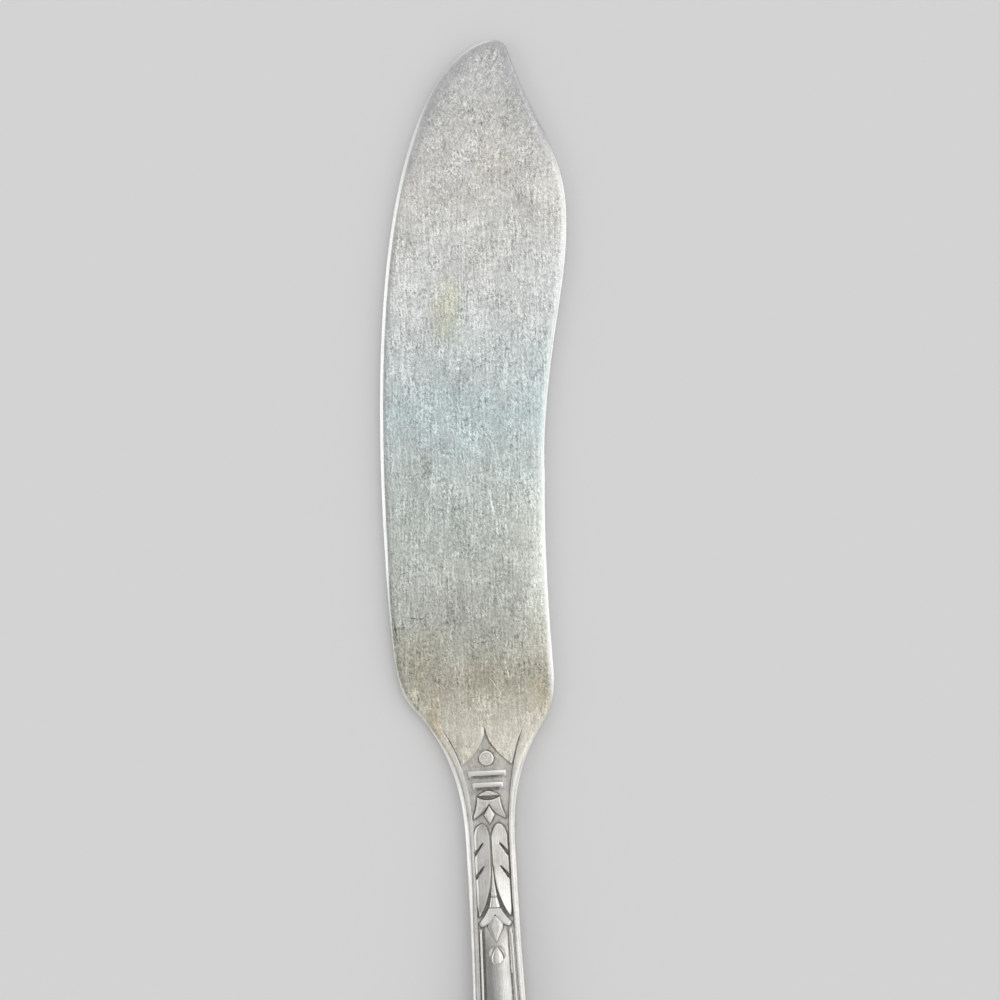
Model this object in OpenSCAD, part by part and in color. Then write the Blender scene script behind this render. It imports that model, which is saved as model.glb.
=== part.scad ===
// Flat-handle butter spreader, lying face up.
// The handle axis runs along Y, with the blade tip at +Y and the spreading edge at +X.
// Distances along the handle are measured from the die line, where the struck handle meets the blade.

/* [Blade] */
// Die line to the tip
blade_l = 73.7; // [61:0.1:89]
// Thickness of the rolled blade
blade_t = 1.3; // [1.05:0.05:1.6]
// Handle axis to the back of the blade at its widest
back_w = 9.65; // [8:0.05:11.6]
// Handle axis to the spreading edge at its bulge
edge_w = 11.95; // [9.9:0.05:14.4]
// Handle axis to the back at the heel
back_heel_w = 9; // [7.5:0.1:9.6]
// Handle axis to the spreading edge at the heel
edge_heel_w = 7.75; // [7:0.05:9.3]
// Die line to the heels
heel_l = 6; // [5:0.1:7.2]
// Die line to the widest point of the back
back_l = 21; // [17.5:0.5:25.5]
// Bulge of the spreading edge to the tip, along the axis
nose_l = 18.2; // [15:0.1:22]
// Handle axis to the tip
tip_x = 4.8; // [4:0.1:5.8]
// Radius of the rounded blade edges
edge_r = 0.45; // [0.35:0.05:0.55]

/* [Handle] */
// Die line to the end of the handle
handle_l = 81.3; // [67.5:0.1:98]
// Width of the neck
neck_w = 5.34; // [4.44:0.02:6.42]
// Width of the handle where its round end starts
handle_w = 12.4; // [10.3:0.1:15]
// Handle axis to the back at the die line
back_shoulder_w = 5.85; // [4.9:0.05:7]
// Handle axis to the spreading edge at the die line
edge_shoulder_w = 6.25; // [5.2:0.05:7]
// Die line to the foot of the shoulders
shoulder_l = 14; // [11.6:0.1:16.8]
// Die line to the narrowest point of the neck
neck_l = 17; // [14:0.5:20.5]
// Length of the round end
end_l = 9.4; // [7.8:0.1:11.3]
// Thickness of the blank at the end
end_t = 1.2; // [1:0.05:1.5]
// Rise of the arched underside
arch_h = 1; // [0.6:0.05:1.2]
// Radius of the rounded underside edges
under_r = 0.5; // [0.4:0.05:0.6]

/* [Ornament] */
// Depth of the sunk ground below the blade face
cheek_h = 0.35; // [0.28:0.01:0.42]
// Height of the borders over the sunk ground
border_h = 0.6; // [0.5:0.01:0.72]
// Width of the borders along the neck
border_w = 0.78; // [0.65:0.01:0.94]
// Height of the raised ornament over the sunk ground
relief_h = 0.42; // [0.34:0.01:0.52]
// Width of the fine grooves between raised members
groove_w = 0.1; // [0.06:0.01:0.12]
// Length of the spire below the die line
spire_l = 4.1; // [3.4:0.1:5]
// Radius of the bead
bead_r = 0.8; // [0.66:0.01:0.96]
// Thickness of each crossbar
bar_t = 0.46; // [0.38:0.01:0.56]
// Distance from one crossbar to the next
bar_pitch = 1.25; // [1.05:0.05:1.5]
// Length of the two leaves
leaf_l = 9.95; // [8.25:0.05:12]
// Width of the fillets inside the borders
fillet_w = 0.32; // [0.26:0.01:0.39]
// Height of the fillets over the sunk ground
fillet_h = 0.28; // [0.23:0.01:0.34]

/* [Hidden] */

plate_colour = "silver";
struck_colour = "lightgray";
relief_colour = "gainsboro";
$fn = 48;

// Half of the small flat at the tip, and the corner of the nose beside it
tip_half = 0.3;
nose_w = 1.9;
nose_drop = 1.7;

// Stock below the blade that is ground away to leave a flat underside
ground_stock = 0.1;

// Powers of the shoulder curves: the outline, and what the border gains there on each side
shoulder_power = 2.8;
back_border_gain = 0.5;
back_border_power = 1;
edge_border_gain = 1.25;
edge_border_power = 3;

// The sunk ground: its rise from the die line and its fall to the end, per millimetre
panel_rise = 0.048;
end_fall = 0.035;
panel_z = blade_t - cheek_h;
panel_tilt = atan(panel_rise);

// The round end: where it starts and how far round it turns before its small flat
end_start = handle_l - end_l;
end_turn = 84;

// Counts of steps along the pieces
heel_steps = 8;
flank_steps = 14;
nose_steps = 12;
tip_steps = 6;
spire_steps = 8;
shoulder_steps = 10;
panel_steps = 8;
handle_steps = 16;
end_steps = 9;
round_steps = 3;
border_steps = 7;
fillet_steps = 5;
curve_steps = 10;

// Stations of the ornament, as distances from the die line, each one following the member above it
bead_at = spire_l - 0.75;
bar_at = spire_l + 0.55;
eye_at = bar_at + bar_pitch + bar_t + 1;
notch_at = eye_at + 0.9;
foot_at = eye_at + 2.5;
lozenge_at = eye_at + 2.05;
leaf_at = eye_at + 3;
leaf_end = leaf_at + leaf_l;
stem_at = leaf_end - 0.55 * leaf_l;
upper_collar_at = leaf_end - 0.22 * leaf_l;
lower_collar_at = leaf_end - 0.1 * leaf_l;
limb_at = leaf_end + 1.05;
bud_at = leaf_end;
bud_end = bud_at + 2.8;
drop_at = bud_end + 0.25;
drop_end = drop_at + 2.1;
fillet_at = limb_at + 0.25;
panel_l = drop_end + 4.5;

// Heights of the lower members over the sunk ground
yoke_h = relief_h - 0.04;
stem_h = relief_h - 0.08;

// Length over which the borders rise, and the shape of the spire's sides
border_start_l = 4;
spire_power = 1.9;
spire_tip_w = 0.05;

// Clear half width of the panel along the neck, which the ornament fills
clear_w = neck_w / 2 - border_w - groove_w;

// Curves and lists of stations
function bezier(p, t) =
  pow(1 - t, 3) * p[0] + 3 * t * pow(1 - t, 2) * p[1] + 3 * t * t * (1 - t) * p[2] + pow(t, 3) * p[3];
function curve(p, n) = [for (i = [1:n]) bezier(p, i / n)];
function bend(a, b, c, d) = curve([a, b, c, d], curve_steps);
function span(a, b, n) = [for (i = [1:n]) a + (b - a) * i / n];
function reversed(list) = [for (i = [len(list) - 1:-1:0]) list[i]];

// Blade outline, each side from the die line to the tip, with the two handles of each curve
back_heel = [-back_heel_w, heel_l];
back_wide = [-back_w, back_l];
back_tip = [tip_x - tip_half, blade_l];
edge_heel = [edge_heel_w, heel_l];
edge_bulge = [edge_w, blade_l - nose_l];
edge_nose = [tip_x + nose_w, blade_l - nose_drop];
edge_tip = [tip_x + tip_half, blade_l];
back_shoulder = [-back_shoulder_w, 0];
edge_shoulder = [edge_shoulder_w, 0];
back_heel_turn = [back_shoulder + [-1.7, 0.46 * heel_l], back_heel + [0.5, -0.58 * heel_l]];
back_flank_l = back_l - heel_l;
back_flank = [back_heel + [-0.6, 0.27 * back_flank_l], back_wide - [0, 0.18 * back_flank_l]];
back_sweep = [back_wide + [0, 0.89 * (blade_l - back_l)], back_tip - [3.3, 0.4]];
edge_heel_turn = [edge_shoulder + [1, 0.23 * heel_l], edge_heel - [0, 0.58 * heel_l]];
edge_flank_l = edge_bulge.y - heel_l;
edge_flank = [edge_heel + [-1, 0.69 * edge_flank_l], edge_bulge - [0, 0.24 * edge_flank_l]];
nose_side_l = nose_l - nose_drop;
nose_side = [edge_bulge + [0, 0.38 * nose_side_l], edge_nose + [2.2, -0.455 * nose_side_l]];
nose_turn = [edge_nose + [-0.4, 1.3], edge_tip + [0.5, 0]];
back_side = concat(
  [back_shoulder],
  curve(concat([back_shoulder], back_heel_turn, [back_heel]), heel_steps),
  curve(concat([back_heel], back_flank, [back_wide]), flank_steps),
  curve(concat([back_wide], back_sweep, [back_tip]), nose_steps + tip_steps)
);
edge_side = concat(
  [edge_shoulder],
  curve(concat([edge_shoulder], edge_heel_turn, [edge_heel]), heel_steps),
  curve(concat([edge_heel], edge_flank, [edge_bulge]), flank_steps),
  curve(concat([edge_bulge], nose_side, [edge_nose]), nose_steps),
  curve(concat([edge_nose], nose_turn, [edge_tip]), tip_steps)
);
back_most = min([for (p = back_side) p.x]);
edge_most = max([for (p = edge_side) p.x]);

// Outward direction of a side at a point: level at the die line, straight up at the tip
function outward(side, i, sign) =
  i == 0 ? [sign, 0] :
  i == len(side) - 1 ? [0, 1] :
  let (run = side[i + 1] - side[i - 1]) sign * [run.y, -run.x] / norm(run);

// Blade edge from the underside to the face, as [inset, height]
blade_profile = concat(
  [[edge_r, -ground_stock]],
  [for (a = [60:-30:0]) [edge_r * (1 - cos(a)), edge_r * (1 - sin(a))]],
  [for (a = [0:30:90]) [edge_r * (1 - cos(a)), blade_t - edge_r * (1 - sin(a))]]
);

// Handle outline: half width at a distance from the die line, given the half width at that shoulder
function flare(d, power) = d < shoulder_l ? pow(1 - d / shoulder_l, power) : 0;
function widening(d) = d > neck_l ? pow((d - neck_l) / (end_start - neck_l), 2) : 0;
function handle_half(d) = neck_w / 2 + (handle_w - neck_w) / 2 * widening(d);
function half_at(d, shoulder_w) = handle_half(d) + (shoulder_w - neck_w / 2) * flare(d, shoulder_power);
function back_border_at(d) = border_w + back_border_gain * flare(d, back_border_power);
function edge_border_at(d) = border_w + edge_border_gain * flare(d, edge_border_power);
function end_point(a, inset) =
  let (d = end_start + (end_l - inset) * sin(a) / sin(end_turn)) [(handle_half(d) - inset) * cos(a), -d];

// Heights: the sunk ground is straight along the panel and at the end, and crowned between
function crown(t) =
  let (run = end_start - panel_l)
  let (z0 = panel_z + panel_rise * panel_l)
  let (z1 = end_t + end_fall * end_l)
  bezier([z0, z0 + panel_rise * run / 3, z1 + end_fall * run / 3, z1], t);
function ground_at(d) =
  d <= panel_l ? panel_z + panel_rise * d :
  d >= end_start ? end_t + end_fall * (handle_l - d) :
  crown((d - panel_l) / (end_start - panel_l));
function under_at(d) = arch_h * pow(sin(180 * d / handle_l), 2);

stations = concat(
  [0],
  span(0, spire_l, spire_steps),
  span(spire_l, shoulder_l, shoulder_steps),
  span(shoulder_l, panel_l, panel_steps),
  span(panel_l, end_start, handle_steps)
);
end_angles = span(0, end_turn, end_steps);

// Solid through rings of points of one even count, closed at both ends by strips across the ring
module loft(rings) {
  n = len(rings[0]);
  last = n * (len(rings) - 1);
  walls = [
    for (i = [0:len(rings) - 2])
      for (k = [0:n - 1])
        let (a = i * n + k)
        let (b = i * n + (k + 1) % n)
        each [[a, b, b + n], [a, b + n, a + n]]
  ];
  strips = [for (k = [0:n / 2 - 2]) each [[k, n - 1 - k, n - 2 - k], [k, n - 2 - k, k + 1]]];
  far_strips = [for (s = strips) [s[0] + last, s[2] + last, s[1] + last]];
  polyhedron([for (r = rings) each r], concat(walls, strips, far_strips));
}

// Rounded rib over the ground from an outer point to an inner point
function rib(outer, inner, height, steps) = [
  for (i = [0:steps])
    let (a = 180 * i / steps)
    let (p = outer + (inner - outer) * (1 - cos(a)) / 2)
    [p.x, p.y, ground_at(-p.y) + height * sin(a)]
];

// Ring of the shank at a distance from the die line
function under_round(half, d) = concat(
  [
    for (i = [0:round_steps])
      let (a = 90 * i / round_steps)
      [half - under_r * (1 - sin(a)), -d, under_at(d) + under_r * (1 - cos(a))]
  ],
  [[half, -d, ground_at(d)]]
);
function shank_ring(back_half, edge_half, d) = concat(
  [for (p = under_round(back_half, d)) [-p.x, p.y, p.z]],
  reversed(under_round(edge_half, d))
);

// Piece in the part's frame: over the middle of the outline's box
module placed() {
  translate([-(back_most + edge_most) / 2, (handle_l - blade_l) / 2, 0]) children();
}

// Raised member of the ornament, standing on the sunk ground
module raised(height) {
  placed()
    translate([0, 0, panel_z])
      rotate([-panel_tilt, 0, 0])
        linear_extrude(height) children();
}

// Point of the ornament: a share of the clear half width, and a distance from the die line
function at(share, d) = [share * clear_w, -d];
function mirrored(points) = concat(points, [for (p = reversed(points)) if (p.x != 0) [-p.x, p.y]]);

module blade() {
  color(plate_colour)
    placed()
      difference() {
        loft([
          for (i = [0:len(back_side) - 1])
            let (back_out = outward(back_side, i, -1))
            let (edge_out = outward(edge_side, i, 1))
            concat(
              [for (p = blade_profile) let (q = back_side[i] - back_out * p[0]) [q.x, q.y, p[1]]],
              [for (p = reversed(blade_profile)) let (q = edge_side[i] - edge_out * p[0]) [q.x, q.y, p[1]]]
            )
        ]);
        translate([-2 * back_w, -blade_l, -blade_t])
          cube([2 * (back_w + edge_w), 3 * blade_l, blade_t]);
      }
}

module shank() {
  color(struck_colour)
    placed()
      loft(concat(
        [for (d = stations) shank_ring(half_at(d, back_shoulder_w), half_at(d, edge_shoulder_w), d)],
        [for (a = end_angles) let (p = end_point(a, 0)) shank_ring(p.x, p.x, -p.y)]
      ));
}

// Border on the +X side, from the die line round to the middle of the end
module border(side_w, side_border) {
  loft(concat(
    [
      for (i = [0:len(stations) - 1])
        let (d = stations[i])
        let (half = half_at(d, side_w))
        let (grown = min(1, d / border_start_l))
        rib([half, -d], [half - side_border[i], -d], cheek_h + (border_h - cheek_h) * grown, border_steps)
    ],
    [for (a = end_angles) rib(end_point(a, 0), end_point(a, border_w), border_h, border_steps)],
    [rib([0, -handle_l], [0, border_w - handle_l], border_h, border_steps)]
  ));
}

module left_border() {
  color(struck_colour)
    placed()
      mirror([1, 0, 0])
        border(back_shoulder_w, [for (d = stations) back_border_at(d)]);
}

module right_border() {
  color(struck_colour)
    placed()
      border(edge_shoulder_w, [for (d = stations) edge_border_at(d)]);
}

// Cheek on the +X side, between the spire and the border, level with the blade face at the die line
module cheek(outer) {
  spire_w = outer[spire_steps] - spire_tip_w;
  loft([
    for (i = [0:spire_steps])
      let (d = stations[i])
      let (spire = spire_w * pow(d / spire_l, spire_power))
      let (z = ground_at(d))
      [[spire, -d, z], [spire, -d, z + cheek_h], [outer[i], -d, z + cheek_h], [outer[i], -d, z]]
  ]);
}

module left_cheek() {
  color(plate_colour)
    placed()
      mirror([1, 0, 0])
        cheek([for (d = stations) half_at(d, back_shoulder_w) - back_border_at(d) - groove_w]);
}

module right_cheek() {
  color(plate_colour)
    placed()
      cheek([for (d = stations) half_at(d, edge_shoulder_w) - edge_border_at(d) - groove_w]);
}

module bead() {
  color(relief_colour)
    placed()
      translate([0, 0, panel_z])
        rotate([-panel_tilt, 0, 0])
          translate([0, -bead_at, 0])
            rotate_extrude()
              polygon(concat([[0, 0]], [for (a = [0:15:90]) [bead_r * cos(a), relief_h * sin(a)]]));
}

// Two bars with turned-down ends, the lower one shorter
module crossbars() {
  bar_shares = [1.1, 0.88];
  bar_drop = 0.28;
  bar_foot = 0.22;
  color(relief_colour)
    raised(relief_h)
      for (i = [0:1]) {
        top = bar_at + i * bar_pitch;
        half = bar_shares[i] * clear_w;
        polygon([
          [-half, -top], [half, -top],
          [half, -top - bar_t - bar_drop], [half - bar_foot, -top - bar_t],
          [bar_foot - half, -top - bar_t], [-half, -top - bar_t - bar_drop]
        ]);
      }
}

// Lower rim of the eye, which the top of the bracket follows one groove below
eye_w = 0.66;
eye_rise = 0.5;
eye_sag = 0.62;
function eye_rim(d) =
  bend(at(-eye_w, d), at(-0.3, d + eye_sag), at(0.3, d + eye_sag), at(eye_w, d));

module eye() {
  peak = eye_at - eye_rise;
  color(relief_colour)
    raised(relief_h)
      polygon(concat([at(-eye_w, eye_at)], eye_rim(eye_at), [at(0.12, peak), at(-0.12, peak)]));
}

// Flared yoke below the eye, open at a notch that holds the lozenge
module bracket() {
  top = eye_at + groove_w;
  flank = bend(at(eye_w, top), at(0.76, top + 1.1), at(0.85, foot_at - 0.9), at(1, foot_at - 0.2));
  toe = at(0.97, foot_at);
  half = concat([toe], bend(toe, at(0.6, foot_at - 0.3), at(0.3, foot_at - 0.6), at(0, notch_at)));
  color(relief_colour)
    raised(yoke_h)
      polygon(concat(
        [at(-eye_w, top)],
        eye_rim(top),
        flank,
        half,
        [for (p = reversed(half)) if (p.x > 0) [-p.x, p.y]],
        [for (p = reversed(flank)) [-p.x, p.y]]
      ));
}

module lozenge() {
  loz_w = 0.34;
  loz_l = 1.02;
  color(relief_colour)
    raised(yoke_h)
      polygon(mirrored([at(0, lozenge_at - loz_l), at(loz_w, lozenge_at), at(0, lozenge_at + loz_l)]));
}

// Leaf on the +X side: round top, curved inner edge, straight outer edge with two slanting notches
module leaf() {
  notch_rise = 1.15;
  notch_t = 0.3;
  top_l = 1.4;
  inner = at(0.05, leaf_end - 0.7 * leaf_l);
  difference() {
    polygon(concat(
      [at(0.05, leaf_at + top_l)],
      bend(at(0.05, leaf_at + top_l), at(0.1, leaf_at + 0.5), at(0.3, leaf_at), at(0.48, leaf_at)),
      bend(at(0.48, leaf_at), at(0.75, leaf_at), at(0.96, leaf_at + 0.5), at(0.98, leaf_at + top_l)),
      [at(1, leaf_end - 1.5), at(0.97, leaf_end)],
      bend(at(0.97, leaf_end), at(0.3, leaf_end - 0.2 * leaf_l), at(0.05, leaf_end - 0.4 * leaf_l), inner)
    ));
    for (share = [0.34, 0.59]) {
      mouth = leaf_at + share * leaf_l;
      polygon([at(0.52, mouth - notch_rise), at(1.1, mouth - notch_t / 2), at(1.1, mouth + notch_t)]);
    }
  }
}

module left_leaf() {
  color(relief_colour)
    raised(relief_h)
      mirror([1, 0, 0])
        leaf();
}

module right_leaf() {
  color(relief_colour)
    raised(relief_h)
      leaf();
}

// Tapered spike between the leaves, parted by a collar line above its foot
module stem() {
  waist_at = stem_at + 0.18 * leaf_l;
  side = [at(0.02, stem_at), at(0.08, waist_at), at(0.2, upper_collar_at), at(0.29, lower_collar_at)];
  color(relief_colour)
    raised(stem_h)
      difference() {
        polygon(mirrored(side));
        translate(at(-1, upper_collar_at + groove_w / 2))
          square([2 * clear_w, groove_w]);
      }
}

// Two drooping limbs that spring from the stem's foot and clasp the bud
module bract() {
  top = lower_collar_at + groove_w;
  crotch = bud_at - 0.2;
  color(relief_colour)
    raised(relief_h)
      polygon(mirrored(concat(
        [at(0, top), at(0.3, top)],
        bend(at(0.3, top), at(0.42, limb_at - 1.2), at(0.6, limb_at - 0.8), at(1, limb_at - 0.25)),
        [at(0.95, limb_at), at(0.66, limb_at)],
        bend(at(0.66, limb_at), at(0.4, limb_at - 0.5), at(0.2, crotch + 0.3), at(0, crotch))
      )));
}

module bud() {
  color(relief_colour)
    raised(relief_h)
      polygon(mirrored(concat(
        [at(0, bud_at)],
        bend(at(0, bud_at), at(0.1, bud_at + 0.3), at(0.4, bud_at + 0.6), at(0.44, bud_at + 1)),
        bend(at(0.44, bud_at + 1), at(0.44, bud_at + 1.6), at(0.1, bud_end - 0.4), at(0, bud_end))
      )));
}

// Teardrop with a crescent petal at each side
module drop() {
  belly = drop_end - 0.7;
  side = concat(
    bend(at(0, drop_at), at(0.1, drop_at + 0.5), at(0.3, belly - 0.5), at(0.3, belly)),
    bend(at(0.3, belly), at(0.3, belly + 0.4), at(0.15, drop_end), at(0, drop_end))
  );
  petal = concat(
    bend(at(0.1, drop_at), at(0.4, drop_at + 0.2), at(0.6, belly - 0.5), at(0.42, belly + 0.1)),
    bend(at(0.42, belly + 0.1), at(0.4, belly - 0.5), at(0.25, drop_at + 0.5), at(0.1, drop_at))
  );
  color(relief_colour)
    raised(relief_h) {
      polygon(mirrored(concat([at(0, drop_at)], side)));
      polygon(petal);
      mirror([1, 0, 0])
        polygon(petal);
    }
}

// Thin line one groove inside the border, from the bract round to the middle of the end
module fillet() {
  near = border_w + groove_w;
  far = near + fillet_w;
  runs = concat([fillet_at], [for (d = stations) if (d > fillet_at) d]);
  loft(concat(
    [for (d = runs) rib([handle_half(d) - near, -d], [handle_half(d) - far, -d], fillet_h, fillet_steps)],
    [for (a = end_angles) rib(end_point(a, near), end_point(a, far), fillet_h, fillet_steps)],
    [rib([0, near - handle_l], [0, far - handle_l], fillet_h, fillet_steps)]
  ));
}

module left_fillet() {
  color(relief_colour)
    placed()
      mirror([1, 0, 0])
        fillet();
}

module right_fillet() {
  color(relief_colour)
    placed()
      fillet();
}

blade();
shank();
left_border();
right_border();
left_cheek();
right_cheek();
bead();
crossbars();
eye();
bracket();
lozenge();
left_leaf();
right_leaf();
stem();
bract();
bud();
drop();
left_fillet();
right_fillet();
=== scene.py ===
"""Looks of a flat-handle butter spreader in worn silver plate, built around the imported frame."""

import logging
import math
from collections.abc import Callable, Iterable, Sequence
from dataclasses import dataclass, field
from enum import Enum
from functools import cached_property, reduce

import bmesh
import bpy
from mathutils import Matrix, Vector
from mathutils.kdtree import KDTree


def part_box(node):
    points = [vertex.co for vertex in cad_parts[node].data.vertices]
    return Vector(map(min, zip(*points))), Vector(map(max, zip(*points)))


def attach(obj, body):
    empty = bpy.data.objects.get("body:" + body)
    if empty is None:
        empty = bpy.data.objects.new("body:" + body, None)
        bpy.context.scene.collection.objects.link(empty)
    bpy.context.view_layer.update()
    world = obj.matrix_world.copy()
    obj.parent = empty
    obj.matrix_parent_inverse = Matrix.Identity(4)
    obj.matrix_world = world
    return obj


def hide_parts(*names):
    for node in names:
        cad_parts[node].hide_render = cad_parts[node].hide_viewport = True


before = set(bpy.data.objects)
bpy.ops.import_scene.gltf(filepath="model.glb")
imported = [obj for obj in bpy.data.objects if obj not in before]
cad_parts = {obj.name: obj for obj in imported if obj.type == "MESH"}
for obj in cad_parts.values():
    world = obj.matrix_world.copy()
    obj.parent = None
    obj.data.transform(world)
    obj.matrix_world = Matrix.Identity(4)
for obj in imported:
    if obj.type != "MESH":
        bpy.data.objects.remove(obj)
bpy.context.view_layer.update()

LOG = logging.getLogger("butter_spreader")
MM = 0.001
BODY = "root"
# The lift stored with each point sets the oxide and the bright rim colour: it stands for grooves and wear,
# and also carries painted shade where it is lowered and painted highlights where it is raised.
LIFT = "lift"
EDGE = "edge"
MERGE_M = 1e-6
SHARP_EDGE = math.radians(38)
HEEL_TONE = (0.72, 0.69, 0.595)

Pair = tuple[float, float]
Triple = tuple[float, float, float]
Colour = Triple
Span = tuple[Pair, Pair, Pair, Pair]
Route = Callable[[float], Pair]
Measure = Callable[[float, float, float], float]
BMesh = bmesh.types.BMesh
Material = bpy.types.Material
Tree = bpy.types.NodeTree
Socket = bpy.types.NodeSocket
Inputs = dict[str | int, object]


class Side(Enum):
    """The two sides of the handle axis."""

    LEFT = -1
    RIGHT = 1

    def node(self, member: str) -> str:
        """Name of the node of a member on this side."""
        return f"{self.name.lower()}_{member}"


class Slot(Enum):
    """The record's material slots."""

    BLADE = "blade_silver"
    HANDLE = "handle_silver"
    RELIEF = "relief_silver"


class Mark(Enum):
    """What a scratch does to the plate: it opens fresh metal, or it fills with dirt."""

    FRESH = 1.45
    DIRTY = 0.4


def ease(t: float) -> float:
    """Runs smoothly from 0 to 1 as t does."""
    t = min(1.0, max(0.0, t))
    return t * t * (3 - 2 * t)


def mix(a: float, b: float, t: float) -> float:
    """Value a share t of the way from a to b."""
    return a + (b - a) * t


def between(a: Pair, b: Pair, t: float) -> Pair:
    """Point a share t of the way from a to b."""
    return mix(a[0], b[0], t), mix(a[1], b[1], t)


def cosine_steps(count: int) -> list[float]:
    """Shares from 0 to 1, closer together near both ends."""
    return [0.5 - 0.5 * math.cos(math.pi * i / (count - 1)) for i in range(count)]


def inner_steps(count: int) -> list[float]:
    """Even shares between 0 and 1, without the ends."""
    return [i / count for i in range(1, count)]


@dataclass(frozen=True)
class Fade:
    """A smooth change from 0 to 1, which starts at a value and takes a run up or down from it."""

    start: float
    run: float

    def at(self, value: float) -> float:
        """Share of the change at a value."""
        return ease((value - self.start) / self.run)


def bezier(span: Span, t: float) -> Pair:
    """Point a share t of the way along a cubic curve, given by its ends and handles."""
    weights = ((1 - t) ** 3, 3 * t * (1 - t) ** 2, 3 * t * t * (1 - t), t**3)
    return tuple(sum(w * p[k] for w, p in zip(weights, span)) for k in (0, 1))


def pulled(a: Pair, a_pull: Pair, b_pull: Pair, b: Pair) -> Span:
    """Cubic curve between two points, from how far its handles are pulled away from them."""
    return a, (a[0] + a_pull[0], a[1] + a_pull[1]), (b[0] + b_pull[0], b[1] + b_pull[1]), b


@dataclass(frozen=True)
class Outline:
    """Cubic curves joined end to end, whose second coordinate never falls."""

    spans: tuple[Span, ...]
    halvings: int = 40
    step: float = 1e-4

    def locate(self, y: float) -> tuple[Span, float]:
        """Finds where the outline passes a height.

        Args:
            y: The second coordinate.

        Returns:
            The curve, and the share of the way along it.
        """
        span = next((s for s in self.spans if y <= s[3][1]), self.spans[-1])
        low, high = 0.0, 1.0
        for _ in range(self.halvings):
            middle = (low + high) / 2
            if bezier(span, middle)[1] < y:
                low = middle
            else:
                high = middle
        return span, high

    def x_at(self, y: float) -> float:
        """First coordinate of the outline at a height."""
        return bezier(*self.locate(y))[0]

    def outward_at(self, y: float, side: Side) -> Pair:
        """Direction square to the outline, away from the axis.

        Args:
            y: The second coordinate.
            side: The side that the outline bounds.

        Returns:
            A unit direction.
        """
        span, t = self.locate(y)
        a = bezier(span, max(0.0, t - self.step))
        b = bezier(span, min(1.0, t + self.step))
        run = Vector((b[0] - a[0], b[1] - a[1])).normalized()
        return side.value * run.y, -side.value * run.x


@dataclass(frozen=True)
class Crest:
    """Section of a raised member from its first edge to its second, as shares of its width and height."""

    rise: float
    fall: float
    foot: float = 0.2
    lean: float = 0.0
    power: float = 0.5
    curve: float = 2.0

    def at(self, share: float) -> float:
        """Height of the section.

        Args:
            share: Share of the way across.

        Returns:
            The height, as a share of the member's own.
        """
        off = 0.0
        if share < self.rise:
            off = 1 - share / self.rise
        elif share > 1 - self.fall:
            off = 1 - (1 - share) / self.fall
        dome = self.foot + (1 - self.foot) * max(0.0, 1 - off**self.curve) ** self.power
        return dome * (1 - self.lean * share)


FLAT = Crest(0.0, 0.0)


@dataclass(frozen=True)
class Cut:
    """A cut line across a raised member, tapering from its mouth to its point, in millimetres."""

    mouth: Pair
    point: Pair
    mouth_w: float
    point_w: float
    left: float

    def keeps(self, x: float, d: float) -> float:
        """Share of the height that the cut leaves.

        Args:
            x: Distance from the handle axis.
            d: Distance below the die line.

        Returns:
            The share, 1 away from the cut.
        """
        a, b, p = Vector(self.mouth), Vector(self.point), Vector((x, d))
        run = b - a
        t = min(1.0, max(0.0, (p - a).dot(run) / run.length_squared))
        half = mix(self.mouth_w, self.point_w, t) / 2
        return mix(self.left, 1.0, ease((p - a - run * t).length / half - 0.5))


def rim_rows(width: float, height: float, flat: float, steps: int) -> list[Pair]:
    """Section of a rim, from its outer edge inwards.

    Args:
        width: Width of the rim.
        height: Its height.
        flat: 0 for a quarter round, 1 for a bevel over an upright foot.
        steps: Count of steps along it.

    Returns:
        Insets from the outer edge, with depths below the top.
    """
    rows = []
    for i in range(steps + 1):
        turn, share = math.pi / 2 * i / steps, i / steps
        quarter = (width * (1 - math.cos(turn)), height * (1 - math.sin(turn)))
        rows.append(between(quarter, (width * share, 0.5 * height * (1 - share)), flat))
    return rows


def lower_round(radius: float, steps: int) -> list[Pair]:
    """Quarter round from an underside up to the edge, as insets from the edge and heights."""
    turns = [math.pi / 2 * i / steps for i in range(steps + 1)]
    return [(radius * (1 - math.sin(a)), radius * (1 - math.cos(a))) for a in turns]


def ring_through(
    right: list[Triple], left: list[Triple], steps: tuple[int, int],
    face: Callable[[float, float], float], low: float,
) -> list[Triple]:
    """Closes a section through two rims, over the face and back along the underside.

    Args:
        right: The right rim's points, from the underside up.
        left: The left rim's points, likewise.
        steps: Counts of steps over the face and along the underside.
        face: Height of the face at a point.
        low: Height of the underside.

    Returns:
        The closed ring.
    """
    over = [between(right[-1][:2], left[-1][:2], share) for share in inner_steps(steps[0])]
    under = [between(left[0][:2], right[0][:2], share) for share in inner_steps(steps[1])]
    return [*right, *((*p, face(*p)) for p in over), *left[::-1], *((*p, low) for p in under)]


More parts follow.
